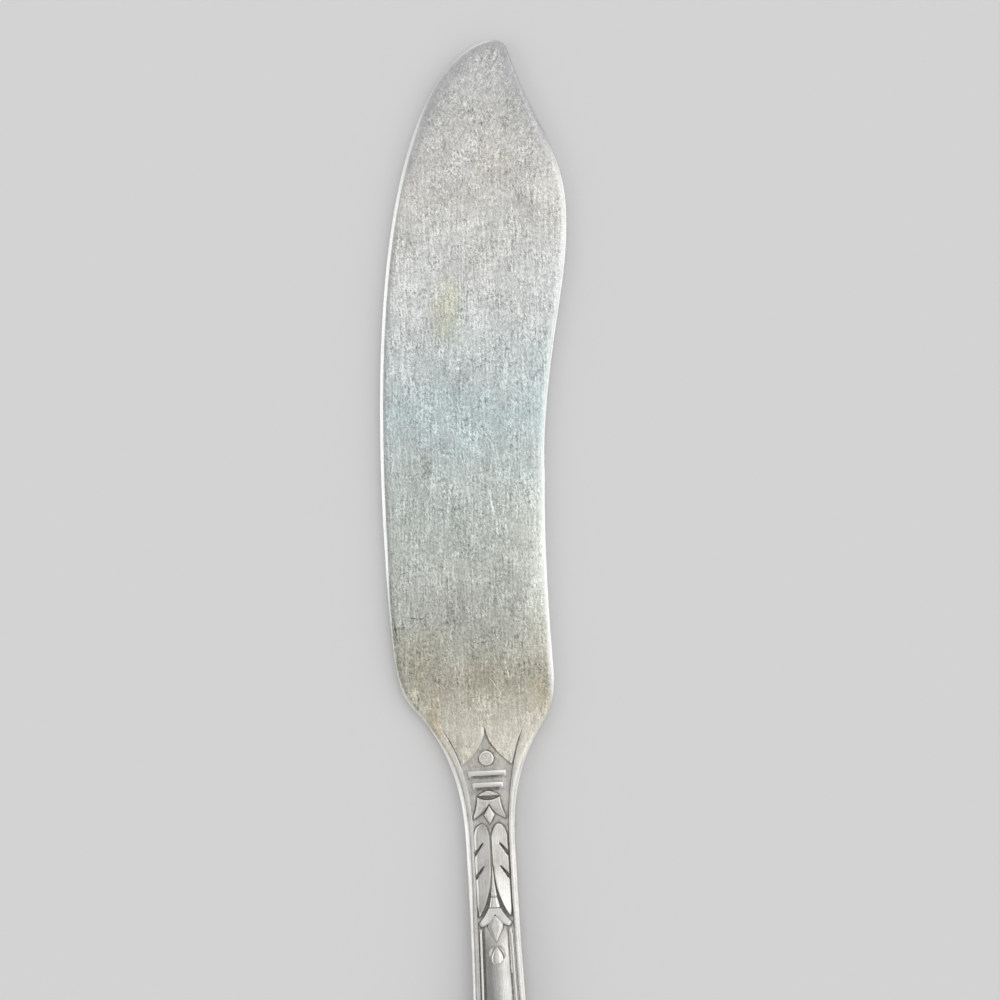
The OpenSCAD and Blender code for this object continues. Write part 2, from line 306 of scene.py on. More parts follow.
@dataclass(frozen=True)
class HandleForm:
    """Plan and side view of the neck and handle, in millimetres from the die line on the handle axis."""

    length: float
    blade_t: float
    neck_w: float = 5.34
    handle_w: float = 12.4
    back_shoulder_w: float = 5.85
    edge_shoulder_w: float = 6.25
    seam_l: float = 2.0
    shoulder_l: float = 14.0
    shoulder_power: float = 2.8
    neck_l: float = 17.0
    end_l: float = 9.4
    end_t: float = 1.2
    arch_h: float = 1.0
    under_r: float = 0.5
    cheek_h: float = 0.35
    panel_rise: float = 0.048
    panel_l: float = 29.96
    end_fall: float = 0.035
    border_w: float = 0.78
    groove_w: float = 0.1
    fillet_w: float = 0.32
    crown_h: float = 0.27
    crown_gain: float = 0.12
    crown_at: float = 20.8
    crown_run: float = 4.6
    crown_end: float = 0.2
    left_swell: Pair = (0.5, 1.0)
    right_swell: Pair = (1.25, 3.0)
    neck_step: float = 0.13
    handle_step: float = 0.8
    end_steps: int = 28

    @property
    def end_start(self) -> float:
        """Distance from the die line to the round end."""
        return self.length - self.end_l

    @property
    def clear_w(self) -> float:
        """Half width of the panel along the neck, which the ornament fills."""
        return self.neck_w / 2 - self.border_w - self.groove_w

    def flare(self, d: float, power: float) -> float:
        """Share of the shoulder's swell that is left at a distance from the die line."""
        return (1 - d / self.shoulder_l) ** power if d < self.shoulder_l else 0.0

    def widening(self, d: float) -> float:
        """Share of the handle's widening, from the neck to the round end."""
        return ((d - self.neck_l) / (self.end_start - self.neck_l)) ** 2 if d > self.neck_l else 0.0

    def plain_half(self, d: float) -> float:
        """Half width without the shoulders."""
        return mix(self.neck_w, self.handle_w, self.widening(d)) / 2

    def half(self, d: float, side: Side) -> float:
        """Half width on one side at a distance from the die line."""
        shoulder = self.back_shoulder_w if side is Side.LEFT else self.edge_shoulder_w
        return self.plain_half(d) + (shoulder - self.neck_w / 2) * self.flare(d, self.shoulder_power)

    def edge_gap(self, x: float, d: float) -> float:
        """Distance from a point of the handle out to its outline.

        Args:
            x: Distance from the axis.
            d: Distance from the die line.

        Returns:
            The distance.
        """
        if d > self.end_start:
            past = d - self.end_start
            reach = math.hypot(x / self.plain_half(self.end_start), past / self.end_l)
            return math.hypot(x, past) * (1 / reach - 1)
        return self.half(d, Side.LEFT if x < 0 else Side.RIGHT) - abs(x)

    def border_at(self, d: float, side: Side) -> float:
        """Width of the border on one side, which swells at the shoulder."""
        gain, power = self.left_swell if side is Side.LEFT else self.right_swell
        return self.border_w + gain * self.flare(d, power)

    def end_point(self, angle: float, inset: float) -> Pair:
        """Point in from the edge of the round end, a quarter turn at most from the end's start."""
        d = self.end_start + (self.end_l - inset) * math.sin(angle)
        return (self.plain_half(d) - inset) * math.cos(angle), d

    def line(self, inset: Callable[[float], float], side: Side, start: float = 0.0) -> list[Pair]:
        """A line along one edge, from a start down to the middle of the end.

        Args:
            inset: Distance in from the edge, for each distance from the die line.
            side: The side of the axis.
            start: Distance from the die line to the line's first point.

        Returns:
            The points, as distances from the axis and from the die line.
        """
        runs = [(self.half(d, side) - inset(d), d) for d in self.stations(start)]
        angles = [math.pi / 2 * (i + 1) / self.end_steps for i in range(self.end_steps)]
        return runs + [self.end_point(a, inset(self.length)) for a in angles]

    def stations(self, start: float) -> list[float]:
        """Distances from the die line at which the handle is drawn, closer along the neck.

        Args:
            start: The first of them.

        Returns:
            The distances.
        """
        neck = round((self.panel_l - start) / self.neck_step)
        rest = round((self.end_start - self.panel_l) / self.handle_step)
        near = [mix(start, self.panel_l, i / neck) for i in range(neck)]
        return near + [mix(self.panel_l, self.end_start, i / rest) for i in range(rest + 1)]

    def ground(self, d: float) -> float:
        """Height of the sunk ground: straight along the panel and at the end, crowned between.

        Args:
            d: Distance from the die line.

        Returns:
            The height.
        """
        rise_z = self.blade_t - self.cheek_h
        if d <= self.panel_l:
            return rise_z + self.panel_rise * d
        if d >= self.end_start:
            return self.end_t + self.end_fall * (self.length - d)
        run = self.end_start - self.panel_l
        z0 = rise_z + self.panel_rise * self.panel_l
        z1 = self.end_t + self.end_fall * self.end_l
        heights = (z0, z0 + self.panel_rise * run / 3, z1 + self.end_fall * run / 3, z1)
        t = (d - self.panel_l) / run
        return bezier(tuple((z, z) for z in heights), t)[0]

    def under(self, d: float) -> float:
        """Height of the arched underside."""
        return self.arch_h * math.sin(math.pi * d / self.length) ** 2

    def panel_half(self, d: float) -> float:
        """Half width of the plain panel between the fillets."""
        return self.plain_half(d) - self.border_w - self.fillet_w - 2 * self.groove_w

    def crown(self, x: float, d: float) -> float:
        """Swell of the plain panel over the ground.

        Args:
            x: Distance from the axis.
            d: Distance from the die line.

        Returns:
            The height over the ground.
        """
        full = self.crown_h + self.crown_gain * min(1.0, self.widening(d))
        start = ease((d - self.crown_at) / self.crown_run)
        end = ease((self.length - d) / self.end_l - self.crown_end)
        return full * start * end * max(0.0, 1 - (x / self.panel_half(min(d, self.end_start))) ** 2)

    def surface(self, x: float, d: float) -> float:
        """Height of the ground with the panel's swell."""
        return self.ground(d) + self.crown(x, d)


@dataclass(frozen=True)
class Place:
    """Where the handle axis and the die line lie in the frame, in metres."""

    axis_x: float
    die_y: float

    def point(self, x: float, d: float, z: float) -> Vector:
        """Point in metres, from millimetres off the axis, below the die line and above the surface."""
        return Vector((self.axis_x + x * MM, self.die_y - d * MM, z * MM))

    def local(self, point: Vector) -> Triple:
        """Millimetres from the axis, below the die line and above the surface."""
        return (point.x - self.axis_x) / MM, (self.die_y - point.y) / MM, point.z / MM


def rolled(rings: Sequence[Sequence[Vector]]) -> BMesh:
    """Rolls a grid through rings of points and closes it into a solid.

    Args:
        rings: Rings of one count of points, the last of which may all fall in pairs.

    Returns:
        The closed mesh.
    """
    columns = len(rings[0]) + 1
    bm = bmesh.new()
    bmesh.ops.create_grid(bm, x_segments=columns - 1, y_segments=len(rings) - 1, size=0.5)
    for index, vert in enumerate(bm.verts):
        ring = rings[index // columns]
        vert.co = ring[index % columns % len(ring)]
    close(bm)
    return bm


def close(bm: BMesh) -> None:
    """Joins points that fall together, fills the open ends and turns the faces outwards.

    Args:
        bm: The mesh.
    """
    bmesh.ops.remove_doubles(bm, verts=bm.verts[:], dist=MERGE_M)
    bmesh.ops.holes_fill(bm, edges=[e for e in bm.edges if e.is_boundary], sides=0)
    bmesh.ops.recalc_face_normals(bm, faces=bm.faces[:])


def footed(bm: BMesh, floor: Callable[[Vector], float]) -> None:
    """Draws the rim of a sheet down into its ground and closes it.

    Args:
        bm: The sheet.
        floor: Height that the rim goes down to at a point, in metres.
    """
    bmesh.ops.remove_doubles(bm, verts=bm.verts[:], dist=MERGE_M)
    rim = [e for e in bm.edges if e.is_boundary]
    drawn = bmesh.ops.extrude_edge_only(bm, edges=rim)["geom"]
    for foot in drawn:
        if isinstance(foot, bmesh.types.BMVert):
            foot.co.z = floor(foot.co)
    close(bm)


def meshed(bm: BMesh, name: str) -> bpy.types.Mesh:
    """Turns a mesh that is being built into a stored one, and frees it.

    Args:
        bm: The mesh that is being built.
        name: The stored mesh's name.

    Returns:
        The stored mesh.
    """
    mesh = bpy.data.meshes.new(name)
    bm.to_mesh(mesh)
    bm.free()
    return mesh


def joined(parts: Iterable[BMesh]) -> BMesh:
    """Puts meshes together into one, and frees them.

    Args:
        parts: The meshes.

    Returns:
        The one mesh.
    """
    whole = bmesh.new()
    for part in parts:
        mesh = meshed(part, "part")
        whole.from_mesh(mesh)
        bpy.data.meshes.remove(mesh)
    return whole


def placed(name: str, data: bpy.types.ID) -> bpy.types.Object:
    """Puts a new object into the scene.

    Args:
        name: The object's name.
        data: Its mesh or camera.

    Returns:
        The object.
    """
    thing = bpy.data.objects.new(name, data)
    bpy.context.scene.collection.objects.link(thing)
    return thing


def finished(bm: BMesh, node: str, slot: Slot, finish: Material) -> None:
    """Makes a piece that stands for a node and rides on the body.

    Args:
        bm: The piece's mesh, which is freed.
        node: The node that the piece stands for.
        slot: The record's material slot; not used.
        finish: The piece's material.
    """
    mesh = meshed(bm, f"plated_{node}")
    mesh.shade_smooth()
    mesh.set_sharp_from_angle(angle=SHARP_EDGE)
    mesh.materials.append(finish)
    piece = placed(mesh.name, mesh)
    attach(piece, BODY)
    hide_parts(node)
    LOG.info("%s: %d faces", piece.name, len(mesh.polygons))


def store(bm: BMesh, place: Place, name: str, value: Measure) -> None:
    """Stores a value with each point, for the finishes to read.

    Args:
        bm: The mesh.
        place: Where the handle axis and the die line lie.
        name: The attribute's name.
        value: The value for a point's distances from the axis and the die line, and its height.
    """
    layer = bm.verts.layers.float.new(name)
    for vert in bm.verts:
        vert[layer] = value(*place.local(vert.co))


def lifted(bm: BMesh, place: Place, lift: Measure) -> BMesh:
    """The mesh with how far each point stands out: 0 in a groove, 1 in the open, more where hands rub; the
    value also carries painted shade and painted highlights.
    """
    store(bm, place, LIFT, lambda *point: max(0.0, lift(*point)))
    return bm


class Graph:
    """A shader node tree with short calls that add and link nodes."""

    def __init__(self, tree: Tree) -> None:
        """Takes the tree that the nodes go into, and leaves the position for a finish to set."""
        self.tree = tree
        self.position: Socket | None = None

    def add(self, kind: str, inputs: Inputs | None = None, **settings: object) -> bpy.types.Node:
        """Adds a node.

        Args:
            kind: The node's type.
            inputs: Values, or sockets to link, by input name or number.
            settings: The node's own properties.

        Returns:
            The node.
        """
        node = self.tree.nodes.new(kind)
        for name, value in settings.items():
            setattr(node, name, value)
        for key, value in (inputs or {}).items():
            if isinstance(value, Socket):
                self.link(value, node.inputs[key])
            else:
                node.inputs[key].default_value = value
        return node

    def link(self, source: Socket, target: Socket) -> None:
        """Links one node's output to another's input."""
        self.tree.links.new(source, target)

    def noise(self, position: Socket, scale: float, detail: float) -> bpy.types.Node:
        """Node of a cloudy pattern, with its count of features per millimetre."""
        return self.add("ShaderNodeTexNoise", {"Vector": position, "Scale": scale, "Detail": detail})

    def attribute(self, name: str) -> Socket:
        """Value that a piece stores with its points."""
        return self.add("ShaderNodeAttribute", attribute_name=name).outputs["Fac"]

    def surface(self, shader: bpy.types.Node) -> None:
        """Ends a material with its shader."""
        self.add("ShaderNodeOutputMaterial", {"Surface": shader.outputs[0]})

    def along(self) -> Socket:
        """Distance of the position along the handle axis."""
        return self.add("ShaderNodeSeparateXYZ", {0: self.position}).outputs[1]

    def scale(self, vector: object, factor: object) -> Socket:
        """A vector or colour times a factor."""
        return self.add("ShaderNodeVectorMath", {0: vector, 3: factor}, operation="SCALE").outputs[0]

    def product(self, *values: object) -> Socket:
        """Product of two or more values."""
        return reduce(lambda a, b: self.math("MULTIPLY", a, b), values)

    def weighted(self, *parts: tuple[object, float]) -> Socket:
        """Sum of two or more values, each times its weight."""
        terms = [self.product(value, weight) for value, weight in parts]
        return reduce(lambda a, b: self.math("ADD", a, b), terms)

    def math(self, operation: str, a: object, b: object) -> Socket:
        """Result of a sum on two values or sockets."""
        return self.add("ShaderNodeMath", {0: a, 1: b}, operation=operation).outputs[0]

    def vector(self, operation: str, a: object, b: object) -> Socket:
        """Vector that a sum on two vectors gives."""
        return self.add("ShaderNodeVectorMath", {0: a, 1: b}, operation=operation).outputs["Vector"]

    def measure(self, operation: str, a: object, b: object = (0, 0, 0)) -> Socket:
        """Number that a sum on one or two vectors gives."""
        return self.add("ShaderNodeVectorMath", {0: a, 1: b}, operation=operation).outputs["Value"]

    def spread(self, value: object, ends: Pair, to: Pair = (0, 1), smooth: bool = True) -> Socket:
        """Spreads a value over a new range.

        Args:
            value: The value or socket.
            ends: The range that it has.
            to: The range that it gets.
            smooth: Whether the change eases in and out.

        Returns:
            The result.
        """
        inputs = {0: value, 1: ends[0], 2: ends[1], 3: to[0], 4: to[1]}
        kind = "SMOOTHSTEP" if smooth else "LINEAR"
        return self.add("ShaderNodeMapRange", inputs, interpolation_type=kind).outputs[0]

    def blend(self, share: object, a: object, b: object, kind: str = "MIX") -> Socket:
        """Mixes two colours or sockets by the share of the second."""
        inputs = {0: share, 6: rgba(a), 7: rgba(b)}
        return self.add("ShaderNodeMix", inputs, data_type="RGBA", blend_type=kind).outputs[2]

    def effect(self, group: Tree, **inputs: object) -> Socket:
        """Places a shared effect at the position, with its own values, and gives its result."""
        placed_inputs = {"Position": self.position, **inputs}
        return self.add("ShaderNodeGroup", placed_inputs, node_tree=group).outputs[0]


def new_graph(owner: Material | bpy.types.World) -> Graph:
    """Gives a material or a world an empty node tree.

    Args:
        owner: The material or world.

    Returns:
        The tree's graph.
    """
    owner.use_nodes = True
    owner.node_tree.nodes.clear()
    return Graph(owner.node_tree)


def new_material(name: str) -> tuple[Material, Graph]:
    """A new material and its graph."""
    material = bpy.data.materials.new(name)
    return material, new_graph(material)


def rgba(colour: object) -> object:
    """A colour with its fourth value, or the socket as it is."""
    return (*colour, 1.0) if isinstance(colour, tuple) and len(colour) == 3 else colour


class Effects:
    """The effects that the finishes share, each a node group that is built once."""

    def __init__(self) -> None:
        """Builds every group."""
        self.grain = self._grain()
        self.brushing = self._brushing()
        self.stain = self._stain()
        self.scratch = self._scratch()
        self.recess = self._recess()

    @staticmethod
    def _group(name: str, output: str, **inputs: str) -> tuple[Graph, dict[str, Socket]]:
        """Starts a group.

        Args:
            name: The group's name.
            output: Name of its output value.
            inputs: Kinds of socket for its inputs, by their names.

        Returns:
            The group's graph, and its inputs' sockets by name, with the output's under its own name.
        """
        tree = bpy.data.node_groups.new(name, "ShaderNodeTree")
        for key, kind in inputs.items():
            tree.interface.new_socket(name=key, in_out="INPUT", socket_type=f"NodeSocket{kind}")
        tree.interface.new_socket(name=output, in_out="OUTPUT", socket_type="NodeSocketFloat")
        graph = Graph(tree)
        ends = {s.name: s for s in graph.add("NodeGroupInput").outputs if s.name}
        ends[output] = graph.add("NodeGroupOutput").inputs[output]
        return graph, ends

    def _grain(self) -> Tree:
        """Fine speckle of worn plate.

        Returns:
            The group.
        """
        graph, ends = self._group("worn_grain", "Grain", Position="Vector", Size="Float")
        scaled = graph.scale(ends["Position"], graph.math("DIVIDE", 1.0, ends["Size"]))
        speckle = graph.noise(scaled, 1.0, 2.0).outputs[0]
        graph.link(graph.spread(speckle, (0.28, 0.72), smooth=False), ends["Grain"])
        return graph.tree

    def _brushing(self) -> Tree:
        """Fine parallel streaks, along the handle axis or turned from it.

        Returns:
            The group.
        """
        graph, ends = self._group(
            "brushing", "Streak", Position="Vector", Angle="Float", Width="Float", Length="Float"
        )
        turn = {"Vector": ends["Position"], "Angle": ends["Angle"]}
        turned = graph.add("ShaderNodeVectorRotate", turn, rotation_type="Z_AXIS").outputs[0]
        cell = graph.add("ShaderNodeCombineXYZ", {0: ends["Width"], 1: ends["Length"], 2: ends["Length"]})
        streak = graph.noise(graph.vector("DIVIDE", turned, cell.outputs[0]), 1.0, 2.0).outputs[0]
        graph.link(graph.spread(streak, (0.3, 0.7), smooth=False), ends["Streak"])
        return graph.tree

    def _stain(self) -> Tree:
        """Soft ragged patch round a centre.

        Returns:
            The group.
        """
        graph, ends = self._group(
            "stain", "Cover", Position="Vector", Centre="Vector", Size="Vector", Ragged="Float"
        )
        noise = graph.noise(ends["Position"], 0.7, 4.0).outputs[0]
        off = graph.vector("SUBTRACT", ends["Position"], ends["Centre"])
        away = graph.measure("LENGTH", graph.vector("DIVIDE", off, ends["Size"]))
        shift = graph.product(graph.math("SUBTRACT", noise, 0.5), ends["Ragged"])
        graph.link(graph.spread(graph.math("ADD", away, shift), (0.1, 1.0), (1, 0)), ends["Cover"])
        return graph.tree

    def _scratch(self) -> Tree:
        """Thin line from one point to another, a little uneven.

        Returns:
            The group.
        """
        graph, ends = self._group(
            "scratch", "Line", Position="Vector", Start="Vector", Finish="Vector", Width="Float"
        )
        in_plan = (1, 1, 0)
        noise = graph.noise(ends["Position"], 1.5, 2.0)
        waver = graph.scale(graph.vector("SUBTRACT", noise.outputs[1], (0.5, 0.5, 0.5)), 0.5)
        flat = graph.vector("MULTIPLY", ends["Position"], in_plan)
        from_start = graph.vector("SUBTRACT", flat, ends["Start"])
        moved = graph.vector("ADD", from_start, graph.vector("MULTIPLY", waver, in_plan))
        run = graph.vector("SUBTRACT", ends["Finish"], ends["Start"])
        along = graph.measure("DOT_PRODUCT", moved, run)
        whole = graph.measure("DOT_PRODUCT", run, run)
        share = graph.add("ShaderNodeClamp", {0: graph.math("DIVIDE", along, whole)}).outputs[0]
        gap = graph.measure("LENGTH", graph.vector("SUBTRACT", moved, graph.scale(run, share)))
        near = graph.math("DIVIDE", gap, ends["Width"])
        broken = graph.spread(noise.outputs[0], (0.3, 0.55), (0.35, 1))
        graph.link(graph.product(graph.spread(near, (0.2, 1.0), (1, 0)), broken), ends["Line"])
        return graph.tree

    def _recess(self) -> Tree:
        """Oxide that stays in grooves and wears off what stands out of them; where the lift carries painted
        shade, this dark colour is painted shade.

        Returns:
            The group.
        """
        graph, ends = self._group("recess", "Oxide", Position="Vector", Lift="Float", Reach="Float")
        noise = graph.noise(ends["Position"], 2.2, 3.0).outputs[0]
        uneven = graph.product(graph.math("SUBTRACT", noise, 0.5), 0.35)
        level = graph.math("DIVIDE", graph.math("ADD", ends["Lift"], uneven), ends["Reach"])
        graph.link(graph.spread(level, (0.1, 1.0), (1, 0)), ends["Oxide"])
        return graph.tree


@dataclass(frozen=True)
class Brushing:
    """Parallel streaks: their turn from the handle axis in radians, and their size in millimetres."""

    turn: float
    width: float
    length: float


@dataclass(frozen=True)
class TintPatch:
    """A patch that tints the plate, with its centre and half lengths in millimetres from the die line on
    the axis: tarnish where it darkens, a painted sheen where it brightens.
    """

    centre: Pair
    size: Pair
    colour: Colour
    cover: float
    ragged: float
    depth: float = 10.0


@dataclass(frozen=True)
class Scratch:
    """A scratch, with its ends in millimetres from the die line on the axis."""

    start: Pair
    finish: Pair
    width: float
    mark: Mark = Mark.FRESH


@dataclass(frozen=True)
class PlateFinish:
    """Worn silver plate: what every finish on the spreader has."""

    name: str
    place: Place
    effects: Effects
    roughness: float
    grain_depth: float
    mottle_depth: float
    streak_depth: float
    bump_depth: float
    grain_size: float = 0.15
    grain_share: float = 0.44
    clump_size: float = 0.55
    clump_share: float = 0.18
    flecks: Brushing = Brushing(-0.25, 0.2, 0.42)
    fleck_share: float = 0.38
    mottle_size: float = 2.6
    # Bright colour along the rims: wear from hands, and a painted highlight on them.
    rub_sheen: Colour = (0.87, 0.885, 0.885)
    rubbed_roughness: float = 0.26
    stains_and_sheen: tuple[TintPatch, ...] = ()

    def start(self) -> tuple[Material, Graph]:
        """Starts the material.

        Returns:
            The material, and its graph with positions in millimetres from the die line on the axis.
        """
        material, graph = new_material(self.name)
        to_mm = {
            "Vector": graph.add("ShaderNodeTexCoord").outputs["Object"],
            "Location": (-self.place.axis_x / MM, -self.place.die_y / MM, 0),
            "Scale": (1 / MM, 1 / MM, 1 / MM),
        }
        graph.position = graph.add("ShaderNodeMapping", to_mm).outputs[0]
        return material, graph

    def finish(self, graph: Graph, colour: Socket, roughness: Socket, height: Socket) -> None:
        """Ends the material with its metal shader.

        Args:
            graph: The material's graph.
            colour: The metal's colour.
            roughness: Its roughness.
            height: The height of its relief, from 0 to 1.
        """
        relief = {"Height": height, "Strength": 1.0, "Distance": self.bump_depth * MM}
        bump = graph.add("ShaderNodeBump", relief).outputs[0]
        metal = {"Base Color": colour, "Roughness": roughness, "Metallic": 1.0, "Normal": bump}
        graph.surface(graph.add("ShaderNodeBsdfPrincipled", metal))

    def tinted(self, graph: Graph, colour: Socket) -> Socket:
        """Colour with the tarnish patches, and the painted sheen among them, over it.

        Args:
            graph: The material's graph.
            colour: The plate's colour.

        Returns:
            The colour.
        """
        for stain in self.stains_and_sheen:
            cover = graph.effect(
                self.effects.stain, Centre=(*stain.centre, 0),
                Size=(*stain.size, stain.depth), Ragged=stain.ragged,
            )
            colour = graph.blend(graph.product(cover, stain.cover), colour, stain.colour, "MULTIPLY")
        return colour

    def grained(self, graph: Graph, size: float) -> Socket:
        """Grain of one size, from 0 to 1."""
        return graph.effect(self.effects.grain, Size=size)

    def brushed(self, graph: Graph, kind: Brushing) -> Socket:
        """Streaks of one kind, from 0 to 1."""
        size = {"Angle": kind.turn, "Width": kind.width, "Length": kind.length}
        return graph.effect(self.effects.brushing, **size)

    def speckle(self, graph: Graph) -> Socket:
        """Fine grain with coarser clumps and short slanting flecks in it, from 0 to 1.

        Args:
            graph: The material's graph.

        Returns:
            The speckle.
        """
        fine = self.grained(graph, self.grain_size)
        clumps = self.grained(graph, self.clump_size)
        flecks = self.brushed(graph, self.flecks)
        shares = (self.grain_share, self.fleck_share, self.clump_share)
        return graph.weighted(*zip((fine, flecks, clumps), shares))

    def worn(
        self, graph: Graph, colour: Socket, grain: Socket, streak: Socket, strength: object = 1.0
    ) -> Socket:
        """Colour with its speckle, mottling and streaks.

        Args:
            graph: The material's graph.
            colour: The plate's colour.
            grain: The speckle.
            streak: The streaks.
            strength: How much of them shows.

        Returns:
            The colour.
        """
        mottle = self.grained(graph, self.mottle_size)
        depths = ((grain, self.grain_depth), (mottle, self.mottle_depth), (streak, self.streak_depth))
        changes = [graph.spread(part, (0, 1), (1 - depth, 1 + depth), False) for part, depth in depths]
        change = graph.math("SUBTRACT", graph.product(*changes), 1.0)
        return graph.scale(colour, graph.math("ADD", graph.product(change, strength), 1.0))

    def polished(self, graph: Graph, roughness: Socket, rim: Socket) -> Socket:
        """Roughness that falls along a rim that use has polished."""
        less = graph.product(rim, self.roughness - self.rubbed_roughness)
        return graph.math("SUBTRACT", roughness, less)


@dataclass(frozen=True)
class BladeFinish(PlateFinish):
    """The blade's finish: satin from use, cooler in the middle, with painted reflection and shade in its
    tones, tarnished in patches and scratched by the handle, with one painted sheen among the patches.
    """

    length: float = 73.7
    below: float = 6.0
    cloud_scale: float = 0.16
    drift: float = 12.0
    drift_l: float = 8.0
    tones_from_neck: tuple[tuple[float, Colour], ...] = (
        (0.0, HEEL_TONE),
        (5.0, (0.525, 0.505, 0.42)),
        (12.0, (0.53, 0.545, 0.495)),
        (22.0, (0.61, 0.645, 0.605)),
        (34.0, (0.56, 0.65, 0.65)),
        (45.0, (0.71, 0.73, 0.715)),
        (57.0, (0.685, 0.675, 0.64)),
        (70.0, (0.60, 0.60, 0.585)),
    )
    band_colour: Colour = (0.47, 0.47, 0.485)
    band_w: float = 2.8
    band_inset: float = 0.2
    band_from_tip: Pair = (18.0, 7.0)
    band_wear: float = 0.45
    lengthwise: Brushing = Brushing(0.04, 0.18, 2.4)
    slanted: Brushing = Brushing(0.6, 0.2, 0.9)
    slanted_from_tip: Pair = (20.0, 5.0)
    calm_along: Pair = (-1.0, 6.0)
    calm_wear: float = 0.62
    patch_size: float = 1.9
    patch_wear: Pair = (0.75, 1.3)
    rim_w: float = 0.85
    rim_core: float = 0.12
    roughness_play: float = 0.05
    scratch_depth: float = 0.8
    scratches: tuple[Scratch, ...] = ()

    def tones(self, graph: Graph) -> Socket:
        """Colour along the blade, broken up into soft clouds: the plate's tarnish, with painted reflection
        and shade in its changes of tone.

        Args:
            graph: The material's graph.

        Returns:
            The colour.
        """
        cloud = graph.noise(graph.position, self.cloud_scale, 3.0).outputs[0]
        y = graph.along()
        above = graph.spread(y, (0.0, self.drift_l), (0.0, self.drift))
        moved = graph.math("ADD", y, graph.product(graph.math("SUBTRACT", cloud, 0.5), above))
        share = graph.spread(moved, (-self.below, self.length), smooth=False)
        ramp = graph.add("ShaderNodeValToRGB", {0: share})
        stops = ramp.color_ramp.elements
        for index, (at, colour) in enumerate(self.tones_from_neck):
            place = (at + self.below) / (self.length + self.below)
            stop = stops[index] if index < len(stops) else stops.new(place)
            stop.position = place
            stop.color = rgba(colour)
        return graph.blend(self.band(graph, y), ramp.outputs[0], self.band_colour)

    def near_tip(self, graph: Graph, y: Socket, reach: Pair) -> Socket:
        """Share from 0 to 1 between two distances from the tip."""
        return graph.spread(y, (self.length - reach[0], self.length - reach[1]))

    def band(self, graph: Graph, y: Socket) -> Socket:
        """Cover of the smooth grey band along the edges of the tip, from the distance to the die line."""
        near_edge = graph.spread(graph.attribute(EDGE), (self.band_inset, self.band_w), (1, 0))
        return graph.product(near_edge, self.near_tip(graph, y, self.band_from_tip))

    def wear(self, graph: Graph, y: Socket) -> Socket:
        """How much of the speckle and streaks shows: less by the handle and on the band.

        Args:
            graph: The material's graph.
            y: Distance from the die line.

        Returns:
            The share.
        """
        calm = graph.spread(y, self.calm_along, (self.calm_wear, 1.0))
        smooth_band = graph.spread(self.band(graph, y), (0, 1), (1.0, self.band_wear), False)
        patch = self.grained(graph, self.patch_size)
        return graph.product(calm, smooth_band, graph.spread(patch, (0.25, 0.75), self.patch_wear, False))

    def scratched(self, graph: Graph, colour: Socket, height: Socket) -> tuple[Socket, Socket]:
        """Colour and height with the scratches over them.

        Args:
            graph: The material's graph.
            colour: The plate's colour.
            height: The height of its relief.

        Returns:
            The colour and the height.
        """
        for scratch in self.scratches:
            line = graph.effect(
                self.effects.scratch, Start=(*scratch.start, 0),
                Finish=(*scratch.finish, 0), Width=scratch.width,
            )
            opened = graph.blend(1.0, colour, (scratch.mark.value,) * 3, "MULTIPLY")
            colour = graph.blend(line, colour, opened)
            height = graph.math("SUBTRACT", height, graph.product(line, self.scratch_depth))
        return colour, height

    def material(self) -> Material:
        """Builds the material.

        Returns:
            The material.
        """
        material, graph = self.start()
        y = graph.along()
        grain = self.speckle(graph)
        streaks = {
            0: self.near_tip(graph, y, self.slanted_from_tip),
            2: self.brushed(graph, self.lengthwise),
            3: self.brushed(graph, self.slanted),
        }
        streak = graph.add("ShaderNodeMix", streaks).outputs[0]
        wear = self.wear(graph, y)
        colour = self.worn(graph, self.tones(graph), grain, streak, wear)
        colour = self.tinted(graph, colour)
        # The bright rim colour along the blade's edges: wear, and a painted highlight.
        rim = graph.spread(graph.attribute(EDGE), (self.rim_core * self.rim_w, self.rim_w), (1, 0))
        colour = graph.blend(rim, colour, self.rub_sheen)
        height = graph.product(graph.weighted((grain, 0.5), (streak, 0.5)), wear)
        colour, height = self.scratched(graph, colour, height)
        play = (self.roughness - self.roughness_play, self.roughness + self.roughness_play)
        rough = self.polished(graph, graph.spread(grain, (0, 1), play, False), rim)
        self.finish(graph, colour, rough, height)
        return material


